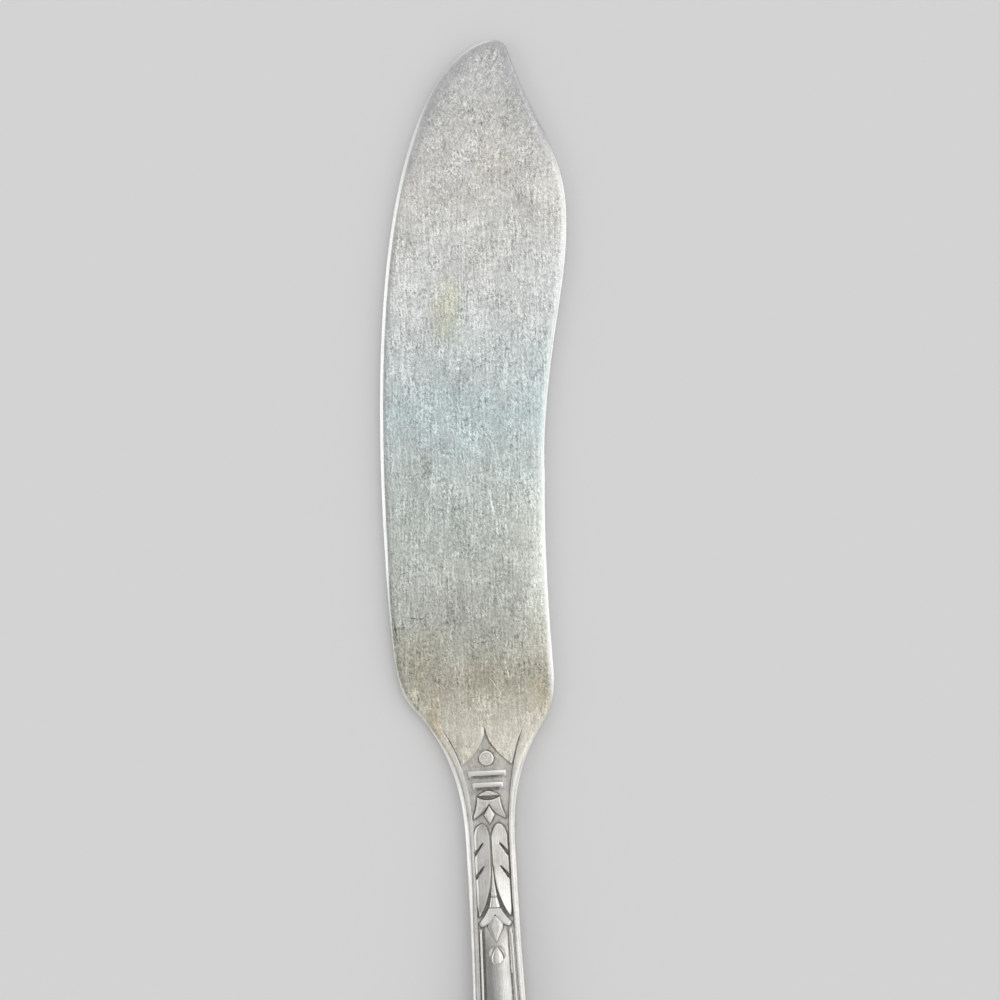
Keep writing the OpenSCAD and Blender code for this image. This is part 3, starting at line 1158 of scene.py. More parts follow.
@dataclass(frozen=True)
class StruckFinish(PlateFinish):
    """The finish of the struck parts: bright where hands rub and with painted highlights on the edges, dark
    with oxide in the grooves and with painted shade beside the ornament.
    """

    bright: Colour = (0.72, 0.71, 0.68)
    dull: Colour = (0.675, 0.66, 0.625)
    cloud_scale: float = 0.45
    cloud_ends: Pair = (0.4, 0.65)
    oxide: Colour = (0.15, 0.14, 0.125)
    oxide_high: Colour = (0.34, 0.32, 0.285)
    oxide_roughness: float = 0.2
    heel: Colour = HEEL_TONE
    heel_grain: float = 0.28
    heel_roughness: float = 0.38
    heel_l: float = 7.0
    reach: float = 0.6
    rub_sheen_lift: Pair = (1.05, 1.5)
    polish: Brushing = Brushing(0.0, 0.12, 2.5)
    polish_depth: float = 0.3
    stipple_size: float = 0.2
    stipple_depth: float = 0.5

    def material(self) -> Material:
        """Builds the material.

        Returns:
            The material.
        """
        material, graph = self.start()
        lift = graph.attribute(LIFT)
        cloud = graph.noise(graph.position, self.cloud_scale, 3.0).outputs[0]
        by_blade = graph.spread(graph.along(), (-self.heel_l, 0.0))
        grain = self.speckle(graph)
        streak = self.brushed(graph, self.polish)
        silver = graph.blend(graph.spread(cloud, self.cloud_ends), self.bright, self.dull)
        silver = graph.blend(by_blade, silver, self.heel)
        colour = self.worn(graph, silver, grain, streak)
        coarse = graph.spread(grain, (0, 1), (-self.heel_grain, self.heel_grain), False)
        colour = graph.scale(colour, graph.math("ADD", graph.product(by_blade, coarse), 1.0))
        # Dark oxide where the lift is low: patina in the grooves, and painted shade where the lift carries
        # it.
        oxide = graph.effect(self.effects.recess, Lift=lift, Reach=self.reach)
        stipple = self.grained(graph, self.stipple_size)
        dark = graph.blend(stipple, self.oxide, self.oxide_high)
        colour = self.tinted(graph, graph.blend(oxide, colour, dark))
        # The bright rim colour where the lift is high: wear, and painted highlights.
        rim = graph.spread(lift, self.rub_sheen_lift)
        colour = graph.blend(rim, colour, self.rub_sheen)
        pitted = graph.product(stipple, oxide, self.stipple_depth)
        height = graph.math("ADD", graph.product(streak, self.polish_depth), pitted)
        base = graph.spread(by_blade, (0, 1), (self.roughness, self.heel_roughness), False)
        dry = graph.product(oxide, self.oxide_roughness)
        rough = graph.math("ADD", self.polished(graph, base, rim), dry)
        self.finish(graph, colour, rough, height)
        return material


@dataclass
class Blade:
    """The rolled blade: flat, with rounded rims that widen along the spreading edge."""

    place: Place
    form: HandleForm
    length: float
    back_w: float = 9.65
    edge_w: float = 11.95
    back_heel_w: float = 9.0
    edge_heel_w: float = 7.75
    heel_l: float = 6.0
    back_l: float = 21.0
    nose_l: float = 18.2
    nose_w: float = 1.9
    nose_drop: float = 1.7
    tip_x: float = 4.8
    tip: Fade = Fade(11.0, -7.0)
    rim_r: float = 0.45
    seam_rim_h: float = 0.35
    back_bevel_w: float = 0.36
    back_bevel: Fade = Fade(0.0, 3.0)
    dull_from: Fade = Fade(3.0, 4.0)
    dull_to: Fade = Fade(9.0, 13.0)
    dull_loss: float = 0.7
    tip_loss: float = 0.6
    swell_from: Fade = Fade(28.0, 14.0)
    swell_end_l: float = 14.0
    swell_rim_w: float = 0.65
    swell_rim_drop: float = 0.15
    edge_bevel_from: Fade = Fade(0.0, 4.0)
    edge_bevel_to: Fade = Fade(24.0, 12.0)
    edge_bevel_cut: float = 0.12
    edge_tip_cut: float = 0.25
    edge_fall: float = 0.1
    edge_fall_w: float = 2.2
    edge_fall_from: Fade = Fade(2.0, 8.0)
    edge_fall_to: Fade = Fade(8.0, 10.0)
    edge_fall_loss: float = 0.65
    back_rub_sheen: Fade = Fade(3.0, 3.0)
    back_rub_sheen_losses: Triple = (0.35, 0.6, 0.35)
    edge_rub_sheen_from: Fade = Fade(1.0, 5.0)
    edge_rub_sheen_to: Fade = Fade(59.0, 6.0)
    edge_rub_sheen_losses: Triple = (0.1, 0.3, 0.45)
    rings: int = 170
    rim_steps: int = 8
    face_steps: int = 36
    under_steps: int = 4
    tip_margin: float = 0.02

    @cached_property
    def sides(self) -> dict[Side, Outline]:
        """The two long sides of the outline, from the die line to the tip.

        Returns:
            The back's outline and the edge's, by side.
        """
        shoulder, heel = (-self.form.back_shoulder_w, 0.0), (-self.back_heel_w, self.heel_l)
        wide, tip = (-self.back_w, self.back_l), (self.tip_x, self.length)
        flank_l, sweep_l = self.back_l - self.heel_l, self.length - self.back_l
        back = (
            pulled(shoulder, (-1.7, 0.46 * self.heel_l), (0.5, -0.58 * self.heel_l), heel),
            pulled(heel, (-0.6, 0.27 * flank_l), (0.0, -0.18 * flank_l), wide),
            pulled(wide, (0.0, 0.89 * sweep_l), (-3.5, -0.35), tip),
        )
        shoulder, heel = (self.form.edge_shoulder_w, 0.0), (self.edge_heel_w, self.heel_l)
        bulge = (self.edge_w, self.length - self.nose_l)
        nose = (self.tip_x + self.nose_w, self.length - self.nose_drop)
        flank_l, nose_l = bulge[1] - self.heel_l, self.nose_l - self.nose_drop
        edge = (
            pulled(shoulder, (1.0, 0.23 * self.heel_l), (0.0, -0.58 * self.heel_l), heel),
            pulled(heel, (-1.0, 0.69 * flank_l), (0.0, -0.24 * flank_l), bulge),
            pulled(bulge, (0.0, 0.38 * nose_l), (2.2, -0.455 * nose_l), nose),
            pulled(nose, (-0.3, 1.2), (1.35, 0.0), tip),
        )
        return {Side.LEFT: Outline(back), Side.RIGHT: Outline(edge)}

    def dull_back(self, y: float) -> float:
        """Share of the back's rim near the heel that is left sharp, with less of the rim's worn and painted
        highlight.
        """
        return self.dull_from.at(y) * (1 - self.dull_to.at(y))

    def rim(self, y: float, side: Side) -> list[Pair]:
        """Section of the rim from the underside to the face.

        Args:
            y: Distance from the die line.
            side: The side of the blade.

        Returns:
            Points as insets from the outline and heights.
        """
        top, width, to_tip = self.form.blade_t, self.rim_r, self.length - y
        tip = self.tip.at(to_tip)
        height = mix(self.seam_rim_h, self.rim_r, ease(y / self.heel_l))
        if side is Side.LEFT:
            flat = self.back_bevel.at(y)
            bevel = self.back_bevel_w * (1 - self.dull_loss * self.dull_back(y)) * (1 - self.tip_loss * tip)
            width, height = mix(width, bevel, flat), mix(height, bevel, flat)
        else:
            swell = self.swell_from.at(y) * ease(to_tip / self.swell_end_l)
            fall = self.edge_fall * self.edge_fall_from.at(y) * self.edge_fall_to.at(to_tip)
            top -= fall * (1 - self.edge_fall_loss * swell)
            flat = self.edge_bevel_from.at(y) * (1 - self.edge_bevel_to.at(y))
            cut = self.edge_tip_cut * tip + self.edge_bevel_cut * flat
            width += self.swell_rim_w * swell - cut
            height -= self.swell_rim_drop * swell + cut
        upper = rim_rows(width, height, flat, self.rim_steps)
        return lower_round(self.rim_r, self.rim_steps) + [(inset, top - depth) for inset, depth in upper]

    def rub_sheen_loss(self, y: float, side: Side) -> float:
        """How much further from the edge the rim counts, where the rim's bright colour, wear and painted
        highlight, is less.

        Args:
            y: Distance from the die line.
            side: The side of the blade.

        Returns:
            The added distance.
        """
        if side is Side.LEFT:
            heel, dull, tip = self.back_rub_sheen_losses
            near_tip = tip * self.tip.at(self.length - y)
            return heel * (1 - self.back_rub_sheen.at(y)) + dull * self.dull_back(y) + near_tip
        least, heel, tip = self.edge_rub_sheen_losses
        return least + heel * (1 - self.edge_rub_sheen_from.at(y)) + tip * self.edge_rub_sheen_to.at(y)

    def side_points(self, y: float, side: Side) -> list[Triple]:
        """The rim's points at one distance from the die line.

        Args:
            y: Distance from the die line.
            side: The side of the blade.

        Returns:
            Points from the underside to the face.
        """
        outline, out = self.sides[side], Vector((0.0, 1.0))
        if y < self.length:
            square = Vector(outline.outward_at(y, side))
            out = Vector((side.value, 0.0)).lerp(square, ease(y / self.form.seam_l)).normalized()
        x = outline.x_at(y)
        return [(x - out.x * inset, y - out.y * inset, z) for inset, z in self.rim(y, side)]

    def ring(self, y: float) -> list[Vector]:
        """The blade's section at one distance from the die line, as a closed ring.

        Args:
            y: The distance.

        Returns:
            The ring's points.
        """
        right, left = (self.side_points(y, side) for side in (Side.RIGHT, Side.LEFT))
        rim_x, _, rim_z = right[-1]

        def face(x: float, _: float) -> float:
            """Height of the face, which falls to the rim of the spreading edge."""
            away = min(1.0, (rim_x - x) / self.edge_fall_w)
            return self.form.blade_t - (self.form.blade_t - rim_z) * (1 - away) ** 2

        ring = ring_through(right, left, (self.face_steps, self.under_steps), face, 0.0)
        return [self.place.point(x, -at, z) for x, at, z in ring]

    def build(self) -> BMesh:
        """Makes the blade's mesh."""
        shares = [math.sin(math.pi / 2 * i / self.rings) for i in range(self.rings + 1)]
        return rolled([self.ring(self.length * s) for s in shares])

    def edge_gap(self, x: float, y: float, side: Side) -> float:
        """Distance in from one outline, more where its rim has less of the worn and painted highlight."""
        square = abs(self.sides[side].outward_at(y, side)[0])
        return abs(self.sides[side].x_at(y) - x) * square + self.rub_sheen_loss(y, side)

    def dress(self, finish: Material) -> None:
        """Builds and finishes the blade.

        Args:
            finish: The material.
        """
        bm = self.build()

        def edge(x: float, d: float, _: float) -> float:
            """Distance to the nearer outline."""
            y = min(self.length - self.tip_margin, max(0.0, -d))
            return min(self.edge_gap(x, y, side) for side in Side)

        store(bm, self.place, EDGE, edge)
        finished(bm, "blade", Slot.BLADE, finish)


@dataclass
class Shank:
    """The blank under the ornament: sunk ground, rounded underside edges and a swelling plain panel."""

    place: Place
    form: HandleForm
    rims: Sequence[Pair]
    rim_steps: int = 6
    face_steps: int = 64
    under_steps: int = 8
    under_gap: float = 0.05
    rim_band: float = 0.2
    field_lift: float = 0.38
    lit_field: Fade = Fade(0.9, 0.6)
    lit_field_to: Fade = Fade(9.5, -2.0)
    lit_gain: float = 0.09
    panel_run: float = 1.6
    panel_margin: Fade = Fade(0.1, 0.32)
    left_groove: float = 0.26
    right_groove_lit: float = -0.2
    outline: Fade = Fade(0.03, 0.15)
    outline_shade: float = 0.28
    panel_shade: float = 0.3
    bars: tuple[Triple, ...] = ((4.86, 5.66, 1.85), (6.1, 7.0, 1.5), (7.3, 7.85, 1.45))
    bar_runs: Triple = (0.2, 0.3, 0.4)
    hollow: Pair = (14.5, 20.6)
    hollow_runs: Pair = (2.5, 0.8)
    hollow_shade: float = 0.3
    hollow_lead: float = 3.0
    hollow_lit: Fade = Fade(2.5, 2.0)
    lit_loss: float = 0.6

    def __post_init__(self) -> None:
        """Sorts the outlines of the members that stand on the ground."""
        self.outlines = KDTree(len(self.rims))
        for index, (x, d) in enumerate(self.rims):
            self.outlines.insert((x, d, 0.0), index)
        self.outlines.balance()

    def side(self, side: Side) -> list[tuple[Pair, Pair]]:
        """One long side of the outline.

        Args:
            side: The side of the axis.

        Returns:
            Points from the die line to the middle of the end, each with its outward direction.
        """
        points = [(side.value * x, d) for x, d in self.form.line(lambda d: 0.0, side)]
        result = [(points[0], (float(side.value), 0.0))]
        for before, here, after in zip(points, points[1:], points[2:]):
            run = Vector((after[0] - before[0], after[1] - before[1])).normalized()
            square = Vector((side.value * run.y, -side.value * run.x))
            out = Vector((side.value, 0.0)).lerp(square, ease(here[1] / self.form.seam_l)).normalized()
            result.append((here, (out.x, out.y)))
        return result + [((0.0, self.form.length), (0.0, 1.0))]

    def rim(self, point: Pair, out: Pair) -> list[Triple]:
        """The rounded lower edge at one point of the outline, up to the ground.

        Args:
            point: The point.
            out: The direction out of the outline there.

        Returns:
            The edge's points.
        """
        x, d = point
        round_up = lower_round(self.form.under_r, self.rim_steps)
        rows = [(inset, self.form.under(d) + z) for inset, z in round_up] + [(0.0, self.form.ground(d))]
        return [(x - out[0] * inset, d - out[1] * inset, z) for inset, z in rows]

    def build(self) -> BMesh:
        """Makes the shank's mesh.

        Returns:
            The mesh.
        """
        rings = []
        for right, left in zip(self.side(Side.RIGHT), self.side(Side.LEFT)):
            low = self.form.under(right[0][1])
            steps = (self.face_steps, self.under_steps)
            ring = ring_through(self.rim(*right), self.rim(*left), steps, self.form.surface, low)
            rings.append([self.place.point(*p) for p in ring])
        return rolled(rings)

    def panel_inset(self, x: float, d: float) -> float:
        """Distance of a point from the plain panel's edge, negative outside it.

        Args:
            x: Distance from the axis.
            d: Distance from the die line.

        Returns:
            The distance.
        """
        wide = min(d, self.form.end_start)
        if d > wide:
            return self.form.edge_gap(x, d) - (self.form.plain_half(wide) - self.form.panel_half(wide))
        return self.form.panel_half(d) - abs(x)

    def shade(self, x: float, d: float) -> Pair:
        """Shade on the ground beside the ornament.

        Args:
            x: Distance from the axis.
            d: Distance from the die line.

        Returns:
            The shade along the members and under the bars, and in the hollow between leaves and stem.
        """
        along = 1 - self.outline.at(self.outlines.find((x, d, 0.0))[2])
        for top, low, half in self.bars:
            inside = ease((d - top) / self.bar_runs[0]) * ease((low - d) / self.bar_runs[1])
            along = max(along, inside * ease((half - abs(x)) / self.bar_runs[2]))
        start, end = self.hollow
        within = ease((d - start) / self.hollow_runs[0]) * ease((end - d) / self.hollow_runs[1])
        if x < 0 and start - self.hollow_lead < d < end:
            lit = 1 - self.hollow_lit.at(d - start)
            return along * (1 - self.lit_loss * lit), within * (1 - lit)
        return along, within

    def lift(self, x: float, d: float, z: float) -> float:
        """How far a point stands out of the grooves: low in the sunk field, high on the plain panel, with
        painted shade along the ornament, under the bars, in the hollow and at the panel's margin, and
        painted light on the right of the field and in the right groove.

        Args:
            x: Distance from the axis.
            d: Distance from the die line.
            z: Height.

        Returns:
            The lift, 1 in the open.
        """
        if z < self.form.ground(d) - self.under_gap or self.form.edge_gap(x, d) < self.rim_band:
            return 1.0
        by_panel, inset = ease((d - self.form.crown_at) / self.panel_run), self.panel_inset(x, d)
        on_panel = self.panel_margin.at(inset)
        # Painted shade at the panel's margin, with painted light instead in the groove on the right.
        groove = self.right_groove_lit if x > 0 and inset < 0 else self.left_groove
        along, within = self.shade(x, d)
        deep = groove * by_panel * (1 - on_panel) + self.outline_shade * along
        deep += self.panel_shade * along * by_panel + self.hollow_shade * within
        lit = self.lit_gain * self.lit_field.at(x) * self.lit_field_to.at(d)
        return self.field_lift + lit + (1 - self.field_lift) * by_panel * on_panel - deep

    def dress(self, finish: Material) -> None:
        """Builds and finishes the shank."""
        finished(lifted(self.build(), self.place, self.lift), "shank", Slot.HANDLE, finish)


@dataclass
class Moulding:
    """A rounded member that runs along both edges of the handle and meets in the middle of its end."""

    place: Place
    form: HandleForm
    node: str
    slot: Slot
    height: float
    outer_round: float
    inner_round: float
    outer_h: float
    rise_l: float
    rise_from: float
    start: float = 0.0
    outset: float = 0.0
    start_round: float = 0.45
    bevel_share: float = 0.8
    bevel_w: float = 0.42
    bevel_fade: Fade = Fade(16.0, 6.0)
    bevel_loss: float = 0.5
    inner_bevel_w: float = 0.03
    inner_bevel_h: float = 0.06
    least_w: float = 0.02
    steps: int = 12
    top_steps: int = 3
    full_at: float = 0.9
    foot_lift: float = 0.42
    top_lift: float = 0.6
    start_lift: float = 0.5
    line_shine: Fade = Fade(0.4, 1.0)
    line_lift: float = 0.8
    worn_l: Pair = (21.0, 13.0)
    worn_sheen_run: float = 8.0
    worn_w: float = 0.36
    inner_sheen: Fade = Fade(0.05, 0.1)
    inner_sheen_from: Fade = Fade(1.5, 2.0)
    inner_sheen_to: Fade = Fade(20.0, -4.0)
    worn_sheen_lift: float = 0.6

    def width(self, d: float, side: Side) -> float:
        """Width of the member at a distance from the die line."""
        return self.form.border_at(d, side) if self.outset == 0 else self.form.fillet_w

    def grown(self, d: float) -> float:
        """Share of the full height at a distance from the die line."""
        return ease((d - self.start) / self.rise_l)

    def section(self, d: float, width: float, side: Side) -> list[Pair]:
        """Section from the outer edge to the inner one.

        Args:
            d: Distance from the die line.
            width: The member's width there.
            side: The side of the axis; the left border is bevelled, the rest is round.

        Returns:
            Shares of the width, with heights over the ground.
        """
        grown = self.grown(d)
        full = mix(self.rise_from, self.height, grown)
        flat = self.bevel_share * grown if side is Side.LEFT and not self.outset else 0.0
        inner = max(self.least_w, mix(self.inner_round, self.inner_bevel_w, min(1.0, 2 * flat)) * grown)
        bevel = self.bevel_w * (1 - self.bevel_loss * self.bevel_fade.at(d))
        outer = mix(self.start_round, mix(self.outer_round, bevel, flat), grown)
        outer = min(outer, width - inner - self.least_w)
        drop = min(full, mix(self.outer_h, outer, flat))
        rows = [(inset, full - depth) for inset, depth in rim_rows(outer, drop, flat, self.steps)]
        rows += [(mix(outer, width - inner, share), full) for share in inner_steps(self.top_steps)]
        inside = rim_rows(inner, mix(full, self.inner_bevel_h, flat), flat, self.steps)[::-1]
        rows += [(width - inset, full - depth) for inset, depth in inside]
        return [(0.0, 0.0), *((x / width, h) for x, h in rows), (1.0, 0.0)]

    def build(self, side: Side) -> BMesh:
        """Makes the mesh of one side.

        Args:
            side: The side of the axis.

        Returns:
            The mesh.
        """
        outer = self.form.line(lambda d: self.outset, side, self.start)
        inner = self.form.line(lambda d: self.outset + self.width(d, side), side, self.start)
        rings = []
        for a, b in zip(outer, inner):
            ring = []
            for share, height in self.section(a[1], self.width(a[1], side), side):
                x, d = between(a, b, share)
                ring.append(self.place.point(side.value * x, d, self.form.ground(d) + height))
            rings.append(ring)
        return rolled(rings)

    def dress(self, side: Side, finish: Material) -> None:
        """Builds and finishes one side."""
        bm = lifted(self.build(side), self.place, self.lift)
        finished(bm, side.node(self.node), self.slot, finish)

    def lift(self, x: float, d: float, z: float) -> float:
        """How far a point stands out of the grooves, more along the edges that hands rub, with painted
        highlights on the fillet's top line and along the border's edges.

        Args:
            x: Distance from the axis.
            d: Distance from the die line.
            z: Height.

        Returns:
            The lift, 1 in the open.
        """
        over = max(0.0, z - self.form.ground(d)) / (self.full_at * self.height)
        lift = min(1.0, self.foot_lift + self.top_lift * over + self.start_lift * (1 - self.grown(d)))
        # The fillet's top line gets a painted highlight.
        if self.outset:
            return lift + self.line_lift * self.line_shine.at(over)
        # The border's outer edge gets wear and a painted highlight; the left border's inner edge gets a
        # painted highlight.
        gap = self.form.edge_gap(x, d)
        worn_l = self.worn_l[0] if x < 0 else self.worn_l[1]
        worn = (1 - ease(gap / self.worn_w)) * ease((worn_l - d) / self.worn_sheen_run)
        if x < 0:
            inner = 1 - self.inner_sheen.at(self.width(d, Side.LEFT) - gap)
            worn = max(worn, inner * self.inner_sheen_from.at(d) * self.inner_sheen_to.at(d))
        return lift + self.worn_sheen_lift * worn


@dataclass(frozen=True)
class Strip:
    """A raised member between two edges, domed across and along, in millimetres."""

    first: Route
    second: Route
    height: float
    across: Crest
    along: Crest = FLAT
    cuts: tuple[Cut, ...] = ()
    across_end: Crest | None = None
    change: Fade = Fade(0.4, 0.25)
    rows: int = 60
    columns: int = 21

    def height_at(self, u: float, t: float, x: float, d: float) -> float:
        """Height over the ground.

        Args:
            u: Share of the way across.
            t: Share of the way along.
            x: Distance from the axis.
            d: Distance from the die line.

        Returns:
            The height.
        """
        kept = min((cut.keeps(abs(x), d) for cut in self.cuts), default=1.0)
        section = self.across.at(u)
        if self.across_end:
            section = mix(section, self.across_end.at(u), self.change.at(t))
        return self.height * section * self.along.at(t) * kept


@dataclass(frozen=True)
class LeafForm:
    """How one leaf is cut: the lean of its face at the top and lower down, and its rim."""

    lean: float
    low_lean: float
    rim: float
    edge_h: float


@dataclass
class Ornament:
    """The raised ornament on the neck, from the spire down to the drop."""

    place: Place
    form: HandleForm
    finish: Material
    field_finish: Material
    relief_h: float = 0.42
    low_h: float = 0.38
    lozenge_h: float = 0.36
    foot: float = 0.05
    spire_l: float = 4.1
    spire_power: float = 1.9
    spire_gap: float = 0.02
    bevel_fall: float = 0.52
    left_bevel_w: float = 0.3
    right_bevel_w: float = 0.06
    bevel_seen: float = 0.25
    groove_run: float = 1.5
    groove_side: float = 0.2
    rub_sheen_gap: float = 0.1
    no_rub_sheen_gap: float = 9.0
    bead_r: float = 0.8
    bead_h: float = 0.34
    bead_rim: float = 0.12
    bead_dish: float = 0.09
    bead_points: int = 48
    bead_ring: Fade = Fade(0.68, 0.06)
    bead_face: float = 0.97
    bead_lifts: Pair = (0.5, 1.4)
    ring_steps: Triple = (0.06, 0.08, 0.06)
    boss_segments: int = 5
    facing_up: float = 0.9
    bar_t: float = 0.46
    bar_pitch: float = 1.25
    bar_slope: float = 0.03
    bar_lip: float = 0.08
    bar_rim: float = 0.1
    bar_ws: Pair = (1.15, 0.93)
    bar_shine: float = 0.5
    bar_highlight_loss: float = 0.4
    hook: Pair = (0.34, 0.32)
    arm_run: float = 0.4
    arm_shine: float = 0.4
    arm_shade: float = 0.42
    leaf_l: float = 9.95
    leaf_top_l: float = 1.4
    left_leaf: LeafForm = LeafForm(0.3, 0.28, 0.17, 0.66)
    right_leaf: LeafForm = LeafForm(0.08, 0.3, 0.05, 0.72)
    notch_shares: Pair = (0.34, 0.59)
    lean_lift: float = 0.5
    edge_shine: Pair = (0.9, 0.7)
    edge_foot: float = 0.35
    collar_t: float = 0.13
    joint_gap: float = 0.04
    limb_shine: Pair = (0.1, 0.5)
    bud_dulling: float = 0.48
    rims: list[Pair] = field(default_factory=list)

    def __post_init__(self) -> None:
        """Works out the stations, each one following the member above it."""
        self.bead_at = self.spire_l - 0.75
        self.bar_at = self.spire_l + 0.55
        self.eye_at = self.bar_at + self.bar_pitch + self.bar_t + 1.0
        self.notch_at = self.eye_at + 0.9
        self.toe_at = self.eye_at + 2.5
        self.lozenge_at = self.eye_at + 2.05
        self.leaf_at = self.eye_at + 3.0
        self.leaf_end = self.leaf_at + self.leaf_l
        self.stem_at = self.leaf_end - 0.55 * self.leaf_l
        self.upper_collar_at = self.leaf_end - 0.22 * self.leaf_l
        self.lower_collar_at = self.leaf_end - 0.1 * self.leaf_l
        self.limb_at = self.leaf_end + 1.05
        self.bud_at = self.leaf_end
        self.bud_end = self.bud_at + 2.8
        self.drop_at = self.bud_end + 0.25
        self.drop_end = self.drop_at + 2.1

    def at(self, share: float, d: float) -> Pair:
        """Point at a share of the clear half width and a distance from the die line."""
        return share * self.form.clear_w, d

    def bend(self, *points: Pair) -> Route:
        """Route along a cubic curve through shares of the clear half width."""
        span = tuple(self.at(*p) for p in points)
        return lambda t: bezier(span, t)

    def flank(self, outline: Outline, top: float, end: float) -> Route:
        """Route between two stations of an outline that is drawn in shares of the clear half width."""
        return lambda t: self.at(outline.x_at(mix(top, end, t)), mix(top, end, t))

    @staticmethod
    def in_turn(first: Route, second: Route, turn: float) -> Route:
        """Route along one curve up to a share of the way, and then along another."""
        return lambda t: first(t / turn) if t < turn else second((t - turn) / (1 - turn))

    @staticmethod
    def even(side: Route, *form: object, **steps: object) -> Strip:
        """Strip that lies evenly about the axis, from its right edge and the rest of its form."""
        return Strip(lambda t: (-side(t)[0], side(t)[1]), side, *form, **steps)

    @staticmethod
    def pair(strip: Strip) -> list[tuple[Strip, Side]]:
        """A strip on both sides of the axis."""
        return [(strip, side) for side in Side]

    def sheet(self, strip: Strip, side: Side) -> BMesh:
        """Lays a strip on the ground.

        Args:
            strip: The strip, drawn on the right side.
            side: The side that it lies on.

        Returns:
            The open sheet.
        """
        bm = bmesh.new()
        bmesh.ops.create_grid(bm, x_segments=strip.columns - 1, y_segments=strip.rows - 1, size=0.5)
        across, along = cosine_steps(strip.columns), cosine_steps(strip.rows)
        for index, vert in enumerate(bm.verts):
            u, t = across[index % strip.columns], along[index // strip.columns]
            x, d = between(strip.first(t), strip.second(t), u)
            z = self.form.surface(x, d) + strip.height_at(u, t, x, d)
            vert.co = self.place.point(side.value * x, d, z)
        return bm

    def solid(self, *strips: tuple[Strip, Side]) -> BMesh:
        """Joins strips into one mesh and closes it down to the ground.

        Args:
            strips: Strips with the sides that they lie on.

        Returns:
            The closed mesh.
        """
        whole = joined(self.sheet(strip, side) for strip, side in strips)
        self.note_rim(whole)
        footed(whole, self.floor)
        return whole

    def note_rim(self, bm: BMesh) -> None:
        """Notes where the outline of an open sheet lies, for the shade in the ground beside it."""
        ends = [e.verts[0].co for e in bm.edges if e.is_boundary]
        self.rims += [self.place.local(end)[:2] for end in ends]

    def floor(self, point: Vector) -> float:
        """Height of a member's foot, a little under the ground, in metres."""
        _, d, _ = self.place.local(point)
        return (self.form.ground(d) - self.foot) * MM

    def lift(self, x: float, d: float, z: float) -> float:
        """How far a point stands over the ground, as a share of the ornament's height."""
        return (z - self.form.surface(x, d)) / self.relief_h

    def show(self, bm: BMesh, node: str, lift: Measure | None = None) -> None:
        """Finishes one member, whose points stand out by their height alone or as given."""
        finished(lifted(bm, self.place, lift or self.lift), node, Slot.RELIEF, self.finish)

    def boss(self, outline: Sequence[Pair], height: float, rim: float) -> BMesh:
        """A flat boss with a rounded rim.

        Args:
            outline: Its outline, as distances from the axis and from the die line.
            height: Its height over the ground.
            rim: Width of the rounded rim.

        Returns:
            The closed mesh.
        """
        bm = bmesh.new()
        low = [bm.verts.new(self.place.point(x, d, self.form.ground(d) - self.foot)) for x, d in outline]
        bm.faces.new(low)
        raised = bmesh.ops.extrude_face_region(bm, geom=bm.faces[:])["geom"]
        top = [v for v in raised if isinstance(v, bmesh.types.BMVert)]
        bmesh.ops.translate(bm, verts=top, vec=(0, 0, (height + self.foot) * MM))
        crown = next(f for f in raised if isinstance(f, bmesh.types.BMFace))
        bmesh.ops.bevel(
            bm, geom=list(crown.edges), offset=rim * MM, offset_type="OFFSET", affect="EDGES",
            segments=self.boss_segments, profile=0.5, material=-1, clamp_overlap=True,
        )
        bmesh.ops.recalc_face_normals(bm, faces=bm.faces[:])
        return bm

    def dish(self, bm: BMesh, depth: float) -> None:
        """Sinks the middle of a boss within a narrow ring.

        Args:
            bm: The boss.
            depth: How far its middle is sunk.
        """
        crown = max((f for f in bm.faces if f.normal.z > self.facing_up), key=lambda f: f.calc_area())
        for width, sunk in zip(self.ring_steps, (0.0, depth, 0.0)):
            bmesh.ops.inset_region(
                bm, faces=[crown], thickness=width * MM, depth=-sunk * MM, use_even_offset=True
            )
        bmesh.ops.recalc_face_normals(bm, faces=bm.faces[:])

    def bead(self) -> None:
        """Round boss in the spire, with a rounded rim and a shallow dish."""
        turns = [2 * math.pi * i / self.bead_points for i in range(self.bead_points)]
        ring = [(self.bead_r * math.cos(a), self.bead_at + self.bead_r * math.sin(a)) for a in turns]
        # No shade lies beside the upper left of the bead.
        self.rims += [point for point in ring if point[0] > 0 or point[1] > self.bead_at]
        lifts, face = self.bead_lifts, self.bead_face

        def lift(x: float, d: float, z: float) -> float:
            """Bright ring round a duller middle."""
            reach = math.hypot(x, d - self.bead_at) / self.bead_r
            return mix(*lifts, self.bead_ring.at(reach)) if reach < face else self.lift(x, d, z)

        bm = self.boss(ring, self.bead_h, self.bead_rim)
        self.dish(bm, self.bead_dish)
        self.show(bm, "bead", lift)

    def bar(self, top: float, half: float) -> BMesh:
        """One bar with turned-down ends, a little lower along its lower edge.

        Args:
            top: Distance from the die line to its upper edge.
            half: Its half width.

        Returns:
            The closed mesh.
        """
        low, (hook_w, hook_l) = top + self.bar_t + self.bar_lip, self.hook
        right = [(half, top), (half, low + hook_l), (half - hook_w, low)]
        left = [(hook_w - half, low), (-half, low + hook_l)]
        bm = self.boss([(-half, top), *right, *left], self.relief_h, self.bar_rim)
        for vert in bm.verts:
            _, d, z = self.place.local(vert.co)
            if z > self.form.ground(d):
                vert.co.z -= self.bar_slope * max(0.0, d - top) * MM
        return bm

    def crossbars(self) -> None:
        """Two bars, the lower one shorter."""
        bars = enumerate(self.bar_ws)
        whole = joined(self.bar(self.bar_at + i * self.bar_pitch, w * self.form.clear_w) for i, w in bars)
        upper, lower = Fade(0.24, 0.08), Fade(0.48, -0.08)

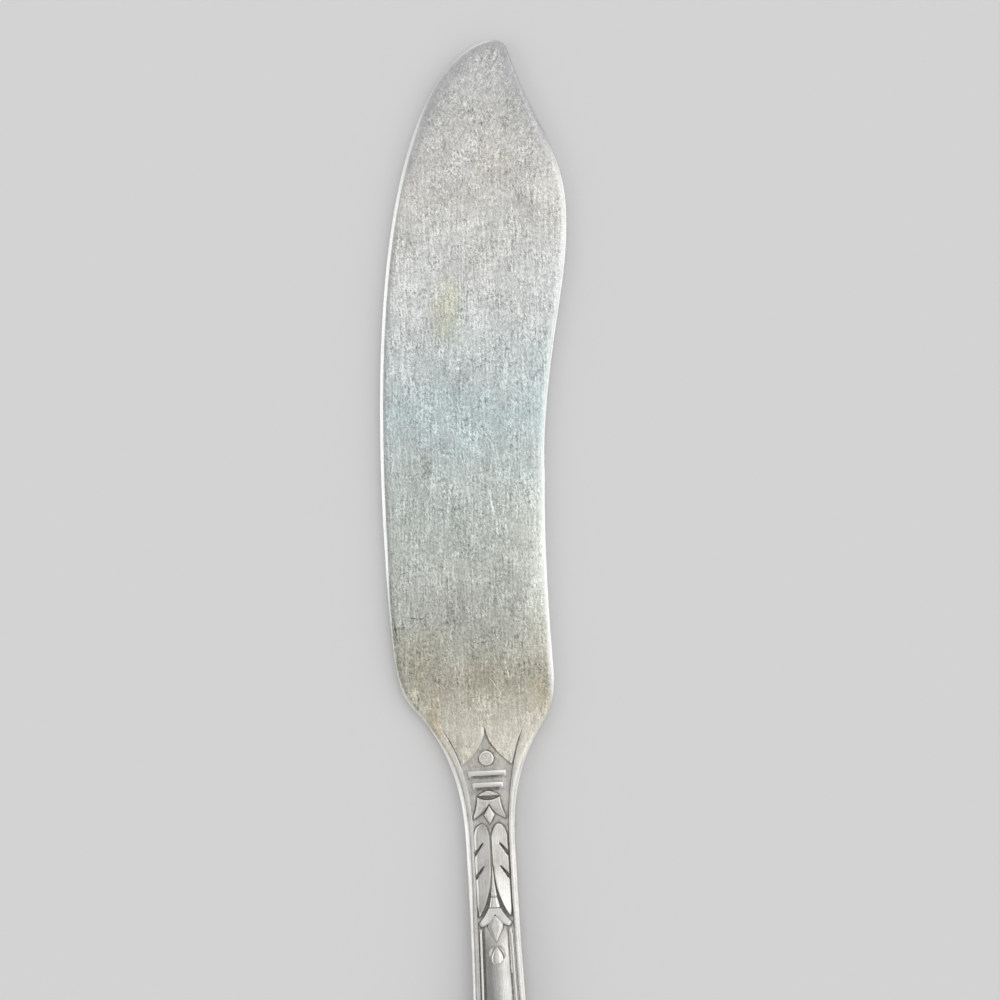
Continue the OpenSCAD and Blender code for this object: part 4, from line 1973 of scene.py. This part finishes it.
        def highlight_loss(d: float) -> float:
            """Painted highlight taken off the middle of a bar, at a distance from the die line."""
            below = (d - self.bar_at) % self.bar_pitch
            return self.bar_highlight_loss * upper.at(below) * lower.at(below)

        def lift(x: float, d: float, z: float) -> float:
            """Bright along the top edges and on the turned-down ends, where hands rub, with a painted
            highlight there.
            """
            return self.lift(x, d, z) + self.bar_shine - highlight_loss(d)

        self.show(whole, "crossbars", lift)

    def eye_rim(self, d: float, sag: float, half: float) -> Route:
        """A rim that hangs below the eye's corners."""
        return self.bend((-half, d), (-0.3, d + sag), (0.3, d + sag), (half, d))

    def eye(self) -> None:
        """Low arch with a peak, over the dark crescent that parts it from the bracket."""
        low, peak, half = self.eye_at - 0.05, self.eye_at - 0.76, 0.66
        roof = self.bend((-half, low), (-0.05, peak), (0.05, peak), (half, low))
        lower = self.eye_rim(low, 0.12, half)
        strip = Strip(roof, lower, self.relief_h, Crest(0.25, 0.25, 0.4), Crest(0.1, 0.1, 0.2))
        self.show(self.solid((strip, Side.RIGHT)), "eye")

    def bracket(self) -> None:
        """Flared yoke below the eye, open at a notch that holds the lozenge."""
        top, notch_at, toe = self.eye_at, self.notch_at, self.toe_at
        rim = self.eye_rim(top, 0.55, 0.69)
        flank = self.bend((0.69, top), (0.74, top + 1.1), (0.85, toe - 0.9), (1.0, toe - 0.2))
        notch = self.bend((0.0, notch_at), (0.3, toe - 0.6), (0.6, toe - 0.3), (0.97, toe))
        strip = Strip(
            self.in_turn(lambda t: rim(0.5 + 0.5 * t), flank, 0.42),
            notch, self.low_h, Crest(0.25, 0.25, 0.35, 0.1), Crest(0.0, 0.08, 0.3), rows=80,
        )
        face, edge = Fade(0.14, 0.1), Fade(0.1, 0.1)

        def shine(x: float, d: float) -> float:
            """Painted highlight on the outer edge of the left arm, and painted shade on its face."""
            inward = self.at(mix(0.7, 1.0, (max(0.0, d - top) / (toe - top)) ** 2), d)[0] + x
            return self.arm_shine * (1 - edge.at(inward)) - self.arm_shade * face.at(inward)

        def lift(x: float, d: float, z: float) -> float:
            """Height alone on the right arm, with the painted highlight and shade on the left one."""
            return self.lift(x, d, z) + ease(-x / self.arm_run) * shine(x, d)

        self.show(self.solid(*self.pair(strip)), "bracket", lift)

    def lozenge(self) -> None:
        """Small diamond in the bracket's notch, with a low ridge."""
        d, half, reach = self.lozenge_at, 0.34, 1.02
        side = self.in_turn(
            lambda t: self.at(half * t, d - reach * (1 - t)),
            lambda t: self.at(half * (1 - t), d + reach * t), 0.5,
        )
        strip = self.even(side, self.lozenge_h, Crest(0.25, 0.25, 0.5), Crest(0.1, 0.1, 0.4))
        self.show(self.solid((strip, Side.RIGHT)), "lozenge")

    def leaf(self, side: Side) -> None:
        """Leaf on one side: round top, curved inner edge, and two slanting notches in its outer edge.

        Args:
            side: The side of the axis.
        """
        top, end, leaf_l = self.leaf_at, self.leaf_end, self.leaf_l
        full, spring = top + self.leaf_top_l, end - 0.7 * leaf_l
        inner = Outline((
            ((0.48, top), (0.3, top), (0.1, top + 0.5), (0.05, full)),
            ((0.05, full), (0.05, full + 0.2), (0.05, spring - 0.2), (0.05, spring)),
            ((0.05, spring), (0.05, end - 0.36 * leaf_l), (0.27, end - 0.17 * leaf_l), (0.97, end)),
        ))
        outer = Outline((
            ((0.48, top), (0.75, top), (0.97, top + 0.5), (1.0, full)),
            ((1.0, full), (1.01, top + 3.0), (1.02, end - 3.0), (1.02, end - 1.5)),
            ((1.02, end - 1.5), (1.02, end - 1.0), (1.0, end - 0.5), (0.97, end)),
        ))
        form = self.left_leaf if side is Side.LEFT else self.right_leaf
        mouths = [top + share * leaf_l - 0.13 for share in self.notch_shares]
        cuts = tuple(Cut(self.at(1.02, d), self.at(0.52, d - 1.15), 0.3, 0.12, 0.14) for d in mouths)
        leans = (form.lean, form.low_lean)
        upper, lower = (Crest(0.06, form.rim, form.edge_h, lean, 1.0, 1.0) for lean in leans)
        strip = Strip(
            self.flank(inner, top, end), self.flank(outer, top, end), self.relief_h,
            upper, Crest(0.0, 0.05, 0.3), cuts, lower, rows=170, columns=33,
        )
        # Fades of the painted highlight in from the outer edge and the inner one.
        worn = (Fade(0.24, -0.14), Fade(0.2, -0.12))

        def shine(x: float, d: float) -> float:
            """Painted highlight of the outer edge and the inner one at a point."""
            gaps = self.at(outer.x_at(d), d)[0] - abs(x), abs(x) - self.at(inner.x_at(d), d)[0]
            return sum(shine * fade.at(gap) for shine, fade, gap in zip(self.edge_shine, worn, gaps))

        def lift(x: float, d: float, z: float) -> float:
            """Height alone on the right leaf, with the painted highlight of its edges on the left one."""
            base, shines = self.lift(x, d, z) * (1 + self.lean_lift * form.lean), side is Side.LEFT
            return base + shine(x, min(max(d, top), end)) if shines and base >= self.edge_foot else base

        self.show(self.solid((strip, side)), side.node("leaf"), lift)

    def stem(self) -> None:
        """Tapered spike between the leaves, with a collar line above its foot."""
        top, collar, low = self.stem_at, self.upper_collar_at, self.lower_collar_at
        waist = top + 0.18 * self.leaf_l
        half = Outline((
            ((0.03, top), (0.05, top + 0.6), (0.08, waist - 0.6), (0.1, waist)),
            ((0.1, waist), (0.13, waist + 0.5), (0.18, collar - 0.4), (0.21, collar)),
            ((0.21, collar), (0.25, collar + 0.4), (0.3, low - 0.4), (0.36, low)),
        ))
        line = Cut(self.at(-1.0, collar), self.at(1.0, collar), self.collar_t, self.collar_t, 0.5)
        side = self.flank(half, top, low - self.joint_gap)
        across, along = Crest(0.3, 0.3, 0.4), Crest(0.05, 0.0, 0.3)
        strip = self.even(side, self.relief_h, across, along, (line,), rows=110)
        self.show(self.solid((strip, Side.RIGHT)), "stem")

    def bract(self) -> None:
        """Two drooping limbs that spring from the stem's foot and clasp the bud."""
        top, crotch, limb = self.lower_collar_at + self.joint_gap, self.bud_at - 0.2, self.limb_at
        crown = self.bend((0.0, top), (0.1, top), (0.25, top), (0.36, top))
        back = self.bend((0.36, top), (0.46, top + 0.45), (0.68, top + 1.0), (1.0, limb - 0.4))
        belly = self.bend((0.0, crotch), (0.14, crotch + 0.6), (0.32, limb - 0.15), (0.86, limb))
        strip = Strip(
            self.in_turn(crown, back, 0.3), belly, self.relief_h,
            Crest(0.0, 0.2, 0.5, 0.0, 1.0, 1.4), Crest(0.0, 0.1, 0.55), rows=70,
        )
        outward = Fade(0.4, 1.0)

        def lift(x: float, d: float, z: float) -> float:
            """Painted highlight, brighter towards the ends of the limbs."""
            return self.lift(x, d, z) + mix(*self.limb_shine, outward.at(abs(x)))

        self.show(self.solid(*self.pair(strip)), "bract", lift)

    def pip(self, half: Outline, top: float, end: float) -> tuple[Strip, Side]:
        """Domed oval about the axis, from its half widths between two stations."""
        across, along = Crest(0.35, 0.35, 0.6), Crest(0.1, 0.15, 0.6)
        return self.even(self.flank(half, top, end), self.relief_h, across, along), Side.RIGHT

    def bud(self) -> None:
        """Pointed oval between the limbs."""
        top, end = self.bud_at - 0.16, self.bud_end
        half = Outline((
            ((0.0, top), (0.26, top + 0.3), (0.47, top + 0.7), (0.47, top + 1.15)),
            ((0.47, top + 1.15), (0.47, top + 1.6), (0.12, end - 0.5), (0.0, end)),
        ))
        solid = self.solid(self.pip(half, top, end))
        self.show(solid, "bud", lambda *point: self.lift(*point) - self.bud_dulling)

    def drop(self) -> None:
        """Teardrop with a crescent petal at each side."""
        top, end = self.drop_at, self.drop_end
        belly = end - 0.7
        half = Outline((
            ((0.0, top), (0.18, top + 0.35), (0.37, belly - 0.55), (0.37, belly)),
            ((0.37, belly), (0.37, belly + 0.42), (0.16, end - 0.02), (0.0, end)),
        ))
        petal = Strip(
            self.bend((0.14, top), (0.26, top + 0.35), (0.43, belly - 0.55), (0.43, belly)),
            self.bend((0.14, top), (0.42, top + 0.1), (0.6, belly - 0.55), (0.43, belly)),
            self.low_h, Crest(0.0, 0.9, 0.58, 0.0, 1.0, 1.0), Crest(0.1, 0.1, 0.6), rows=40, columns=15,
        )
        self.show(self.solid(self.pip(half, top, end), *self.pair(petal)), "drop")

    def cheek(self, side: Side) -> None:
        """Smooth field beside the spire, level with the blade at the die line.

        Args:
            side: The side of the axis.
        """
        form, spire_l, right = self.form, self.spire_l, side is Side.RIGHT

        def outer(d: float) -> float:
            """Distance from the axis to the groove along the border."""
            groove = form.groove_w * ease(d / self.groove_run)
            return form.half(d, side) - form.border_at(d, side) - groove

        spire_w = outer(spire_l) - self.spire_gap
        bevel_w = self.right_bevel_w if right else self.left_bevel_w
        strip = Strip(
            lambda t: (spire_w * t**self.spire_power, t * spire_l),
            lambda t: (outer(t * spire_l), t * spire_l),
            form.cheek_h, FLAT, columns=41,
        )

        def bevelled(x: float, d: float) -> float:
            """Share of the way down the bevel along the spire."""
            inner_gap = abs(x) - spire_w * (max(0.0, d) / spire_l) ** self.spire_power
            return max(1 - inner_gap / bevel_w, 0.0)

        def edge(x: float, d: float, _: float) -> float:
            """Distance to an edge with the bright rim colour, worn and painted highlight: the bevel, and
            the right groove's side.
            """
            beside = right and outer(max(0.0, d)) - abs(x) < self.groove_side and d > self.groove_side
            return self.rub_sheen_gap if beside or bevelled(x, d) > self.bevel_seen else self.no_rub_sheen_gap

        bm = self.sheet(strip, side)
        if right:
            self.note_rim(bm)
        for vert in bm.verts:
            x, d, _ = self.place.local(vert.co)
            vert.co.z -= self.bevel_fall * form.cheek_h * bevelled(x, d) * MM
        footed(bm, self.floor)
        store(bm, self.place, EDGE, edge)
        finished(bm, side.node("cheek"), Slot.BLADE, self.field_finish)

    def dress(self) -> None:
        """Builds and finishes every member in order."""
        for side in Side:
            self.cheek(side)
        for member in (self.bead, self.crossbars, self.eye, self.bracket, self.lozenge):
            member()
        for side in Side:
            self.leaf(side)
        for member in (self.stem, self.bract, self.bud, self.drop):
            member()


@dataclass(frozen=True)
class Softbox:
    """A soft light in the surroundings: where it is, how wide, and how much it adds or takes away."""

    toward: Triple
    spread: float
    soft: float
    strength: float


@dataclass
class Studio:
    """Pale floor, soft light and the camera straight above."""

    place: Place
    face_z: float
    view_w: float = 107.5
    aim: Pair = (3.04, 24.28)
    roll: float = math.atan(0.0567)
    lens: float = 100.0
    sensor: float = 36.0
    clip: Pair = (0.01, 20.0)
    floor_half: float = 4.0
    floor_colour: Colour = (0.76, 0.76, 0.76)
    floor_roughness: float = 0.9
    floor_gloss: float = 0.1
    zenith: float = 0.72
    horizon: float = 0.8
    dome: Pair = (0.3, 1.0)
    boxes: tuple[Softbox, ...] = (
        Softbox((0.36, 0.05, 0.93), 7.0, 13.0, 1.0),
        Softbox((-0.85, 0.05, 0.53), 13.0, 8.0, 0.72),
        Softbox((0.866, 0.05, 0.5), 11.0, 10.0, 0.8),
        Softbox((0.0, 0.8, 0.6), 16.0, 18.0, 0.4),
        Softbox((-0.53, -0.05, 0.85), 9.0, 14.0, -0.45),
        Softbox((0.0, -0.6, 0.8), 14.0, 18.0, -0.3),
    )

    def camera(self) -> None:
        """Sets the camera over the blade, turned so that the handle leans as it lies."""
        data = bpy.data.cameras.new("camera")
        data.lens, data.sensor_width = self.lens, self.sensor
        data.clip_start, data.clip_end = self.clip
        eye = placed("camera", data)
        height = self.view_w * self.lens / self.sensor
        eye.location = self.place.point(self.aim[0], -self.aim[1], self.face_z + height)
        eye.rotation_euler = (0, 0, -self.roll)
        bpy.context.scene.camera = eye

    def floor(self) -> None:
        """Lays the plain floor."""
        bm = bmesh.new()
        bmesh.ops.create_grid(bm, x_segments=1, y_segments=1, size=self.floor_half)
        mesh = meshed(bm, "floor")
        material, graph = new_material("matte_floor")
        matte = {
            "Base Color": rgba(self.floor_colour),
            "Roughness": self.floor_roughness,
            "Specular IOR Level": self.floor_gloss,
        }
        graph.surface(graph.add("ShaderNodeBsdfPrincipled", matte))
        mesh.materials.append(material)
        floor = placed("floor", mesh)

    def light(self) -> None:
        """Lights the scene with a dome that is dimmer overhead, and soft boxes on it."""
        world = bpy.data.worlds.new("studio")
        bpy.context.scene.world = world
        graph = new_graph(world)
        way = graph.add("ShaderNodeTexCoord").outputs["Generated"]
        up = graph.add("ShaderNodeSeparateXYZ", {0: way}).outputs[2]
        level = graph.spread(up, self.dome, (self.horizon, self.zenith))
        for box in self.boxes:
            facing = graph.measure("DOT_PRODUCT", way, Vector(box.toward).normalized())
            rim, core = (math.cos(math.radians(a)) for a in (box.spread + box.soft, box.spread))
            level = graph.math("ADD", level, graph.spread(facing, (rim, core), (0, box.strength)))
        back = graph.add("ShaderNodeBackground", {"Color": (1.0, 1.0, 1.0, 1.0), "Strength": level})
        graph.add("ShaderNodeOutputWorld", {"Surface": back.outputs[0]})

    def build(self) -> None:
        """Sets up the whole studio."""
        self.camera()
        self.floor()
        self.light()
        bpy.context.scene.view_settings.view_transform = "Standard"


HEEL_STAIN = TintPatch((-5.4, 0.9), (1.1, 3.6), (0.76, 0.67, 0.54), 0.75, 1.6)
HANDLE_STAINS = (
    HEEL_STAIN,
    TintPatch((2.5, -7.0), (0.8, 7.0), (0.78, 0.78, 0.78), 0.9, 0.6),
    TintPatch((0.0, -40.0), (4.6, 45.0), (0.77, 0.77, 0.78), 1.0, 0.4),
)
BLADE_STAINS_AND_SHEEN = (
    TintPatch((-1.5, 45.2), (2.5, 5.6), (0.94, 0.91, 0.77), 0.85, 1.5),
    TintPatch((4.4, 60.8), (2.6, 3.2), (0.95, 0.92, 0.84), 0.5, 1.4),
    HEEL_STAIN,
    TintPatch((-6.6, 6.6), (1.3, 5.2), (0.82, 0.79, 0.72), 0.6, 1.6),
    TintPatch((5.9, 3.8), (1.8, 3.4), (0.95, 0.89, 0.76), 0.6, 1.4),
    TintPatch((1.0, 5.5), (5.5, 4.2), (0.86, 0.83, 0.77), 0.5, 1.6),
    TintPatch((-2.9, -2.2), (1.9, 2.6), (0.87, 0.86, 0.85), 0.8, 0.9),
    # Painted sheen: brightens the right of the blade near the neck, where light falls on it.
    TintPatch((6.6, 17.0), (4.2, 15.0), (1.22, 1.21, 1.19), 0.9, 0.8),
    TintPatch((7.2, 55.5), (3.2, 9.0), (0.9, 0.9, 0.905), 0.8, 1.2),
    TintPatch((-4.9, 8.6), (1.5, 4.4), (0.88, 0.875, 0.85), 0.8, 1.9),
)
BLADE_SCRATCHES = (
    Scratch((2.0, 25.3), (2.7, 20.7), 0.2),
    Scratch((-7.3, 12.2), (-6.2, 11.9), 0.1, Mark.DIRTY),
    Scratch((-6.2, 11.9), (-5.3, 12.5), 0.09, Mark.DIRTY),
    Scratch((-9.15, 12.3), (-8.8, 9.6), 0.12, Mark.DIRTY),
    Scratch((-8.2, 16.9), (-7.3, 17.0), 0.08, Mark.DIRTY),
    Scratch((2.63, 7.1), (2.98, 5.2), 0.11),
    Scratch((0.6, 5.6), (1.25, 4.7), 0.09),
    Scratch((1.3, 4.6), (1.95, 3.6), 0.1),
    Scratch((3.95, 4.4), (4.05, 3.3), 0.09),
    Scratch((-4.14, 8.58), (-4.08, 8.62), 0.13),
    Scratch((1.6, 71.3), (1.7, 71.35), 0.12),
    Scratch((2.3, 71.7), (2.35, 71.75), 0.12),
    Scratch((2.6, 71.95), (2.7, 72.0), 0.12),
    Scratch((3.25, 72.1), (3.35, 72.15), 0.12),
)


def main() -> None:
    """Builds every piece in order around the frame."""
    logging.basicConfig(level=logging.INFO, format="%(message)s")
    low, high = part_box("blade")
    place = Place(axis_x=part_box("left_fillet")[1].x, die_y=low.y)
    blade_l, blade_t = (high.y - low.y) / MM, high.z / MM
    form = HandleForm(length=(low.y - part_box("shank")[0].y) / MM, blade_t=blade_t)
    effects = Effects()
    blade_plate = BladeFinish(
        "blade_plate", place, effects, roughness=0.38,
        grain_depth=0.63, mottle_depth=0.12, streak_depth=0.17, bump_depth=0.016,
        rub_sheen=(0.75, 0.76, 0.75), stains_and_sheen=BLADE_STAINS_AND_SHEEN, length=blade_l, scratches=BLADE_SCRATCHES,
    ).material()
    handle_plate = StruckFinish(
        "handle_plate", place, effects, roughness=0.27,
        grain_depth=0.12, mottle_depth=0.05, streak_depth=0.06, bump_depth=0.01, stains_and_sheen=HANDLE_STAINS,
    ).material()
    relief_plate = StruckFinish(
        "relief_plate", place, effects, roughness=0.27,
        grain_depth=0.1, mottle_depth=0.05, streak_depth=0.03, bump_depth=0.01,
        bright=(0.78, 0.77, 0.74), dull=(0.69, 0.67, 0.63), rub_sheen=(0.89, 0.885, 0.862),
    ).material()
    Blade(place, form, blade_l).dress(blade_plate)
    ornament = Ornament(place, form, relief_plate, blade_plate)
    ornament.dress()
    Shank(place, form, ornament.rims).dress(handle_plate)
    border = Moulding(
        place, form, "border", Slot.HANDLE, height=0.58, outer_round=0.72, inner_round=0.18, outer_h=0.35,
        rise_l=4.0, rise_from=form.cheek_h,
    )
    fillet = Moulding(
        place, form, "fillet", Slot.RELIEF, height=0.28, outer_round=0.08, inner_round=0.08, outer_h=0.28,
        start=21.6, rise_l=0.6, rise_from=0.05, outset=form.border_w + form.groove_w,
    )
    for moulding, finish in ((border, handle_plate), (fillet, relief_plate)):
        for side in Side:
            moulding.dress(side, finish)
    Studio(place, blade_t).build()


if __name__ == "__main__":
    main()
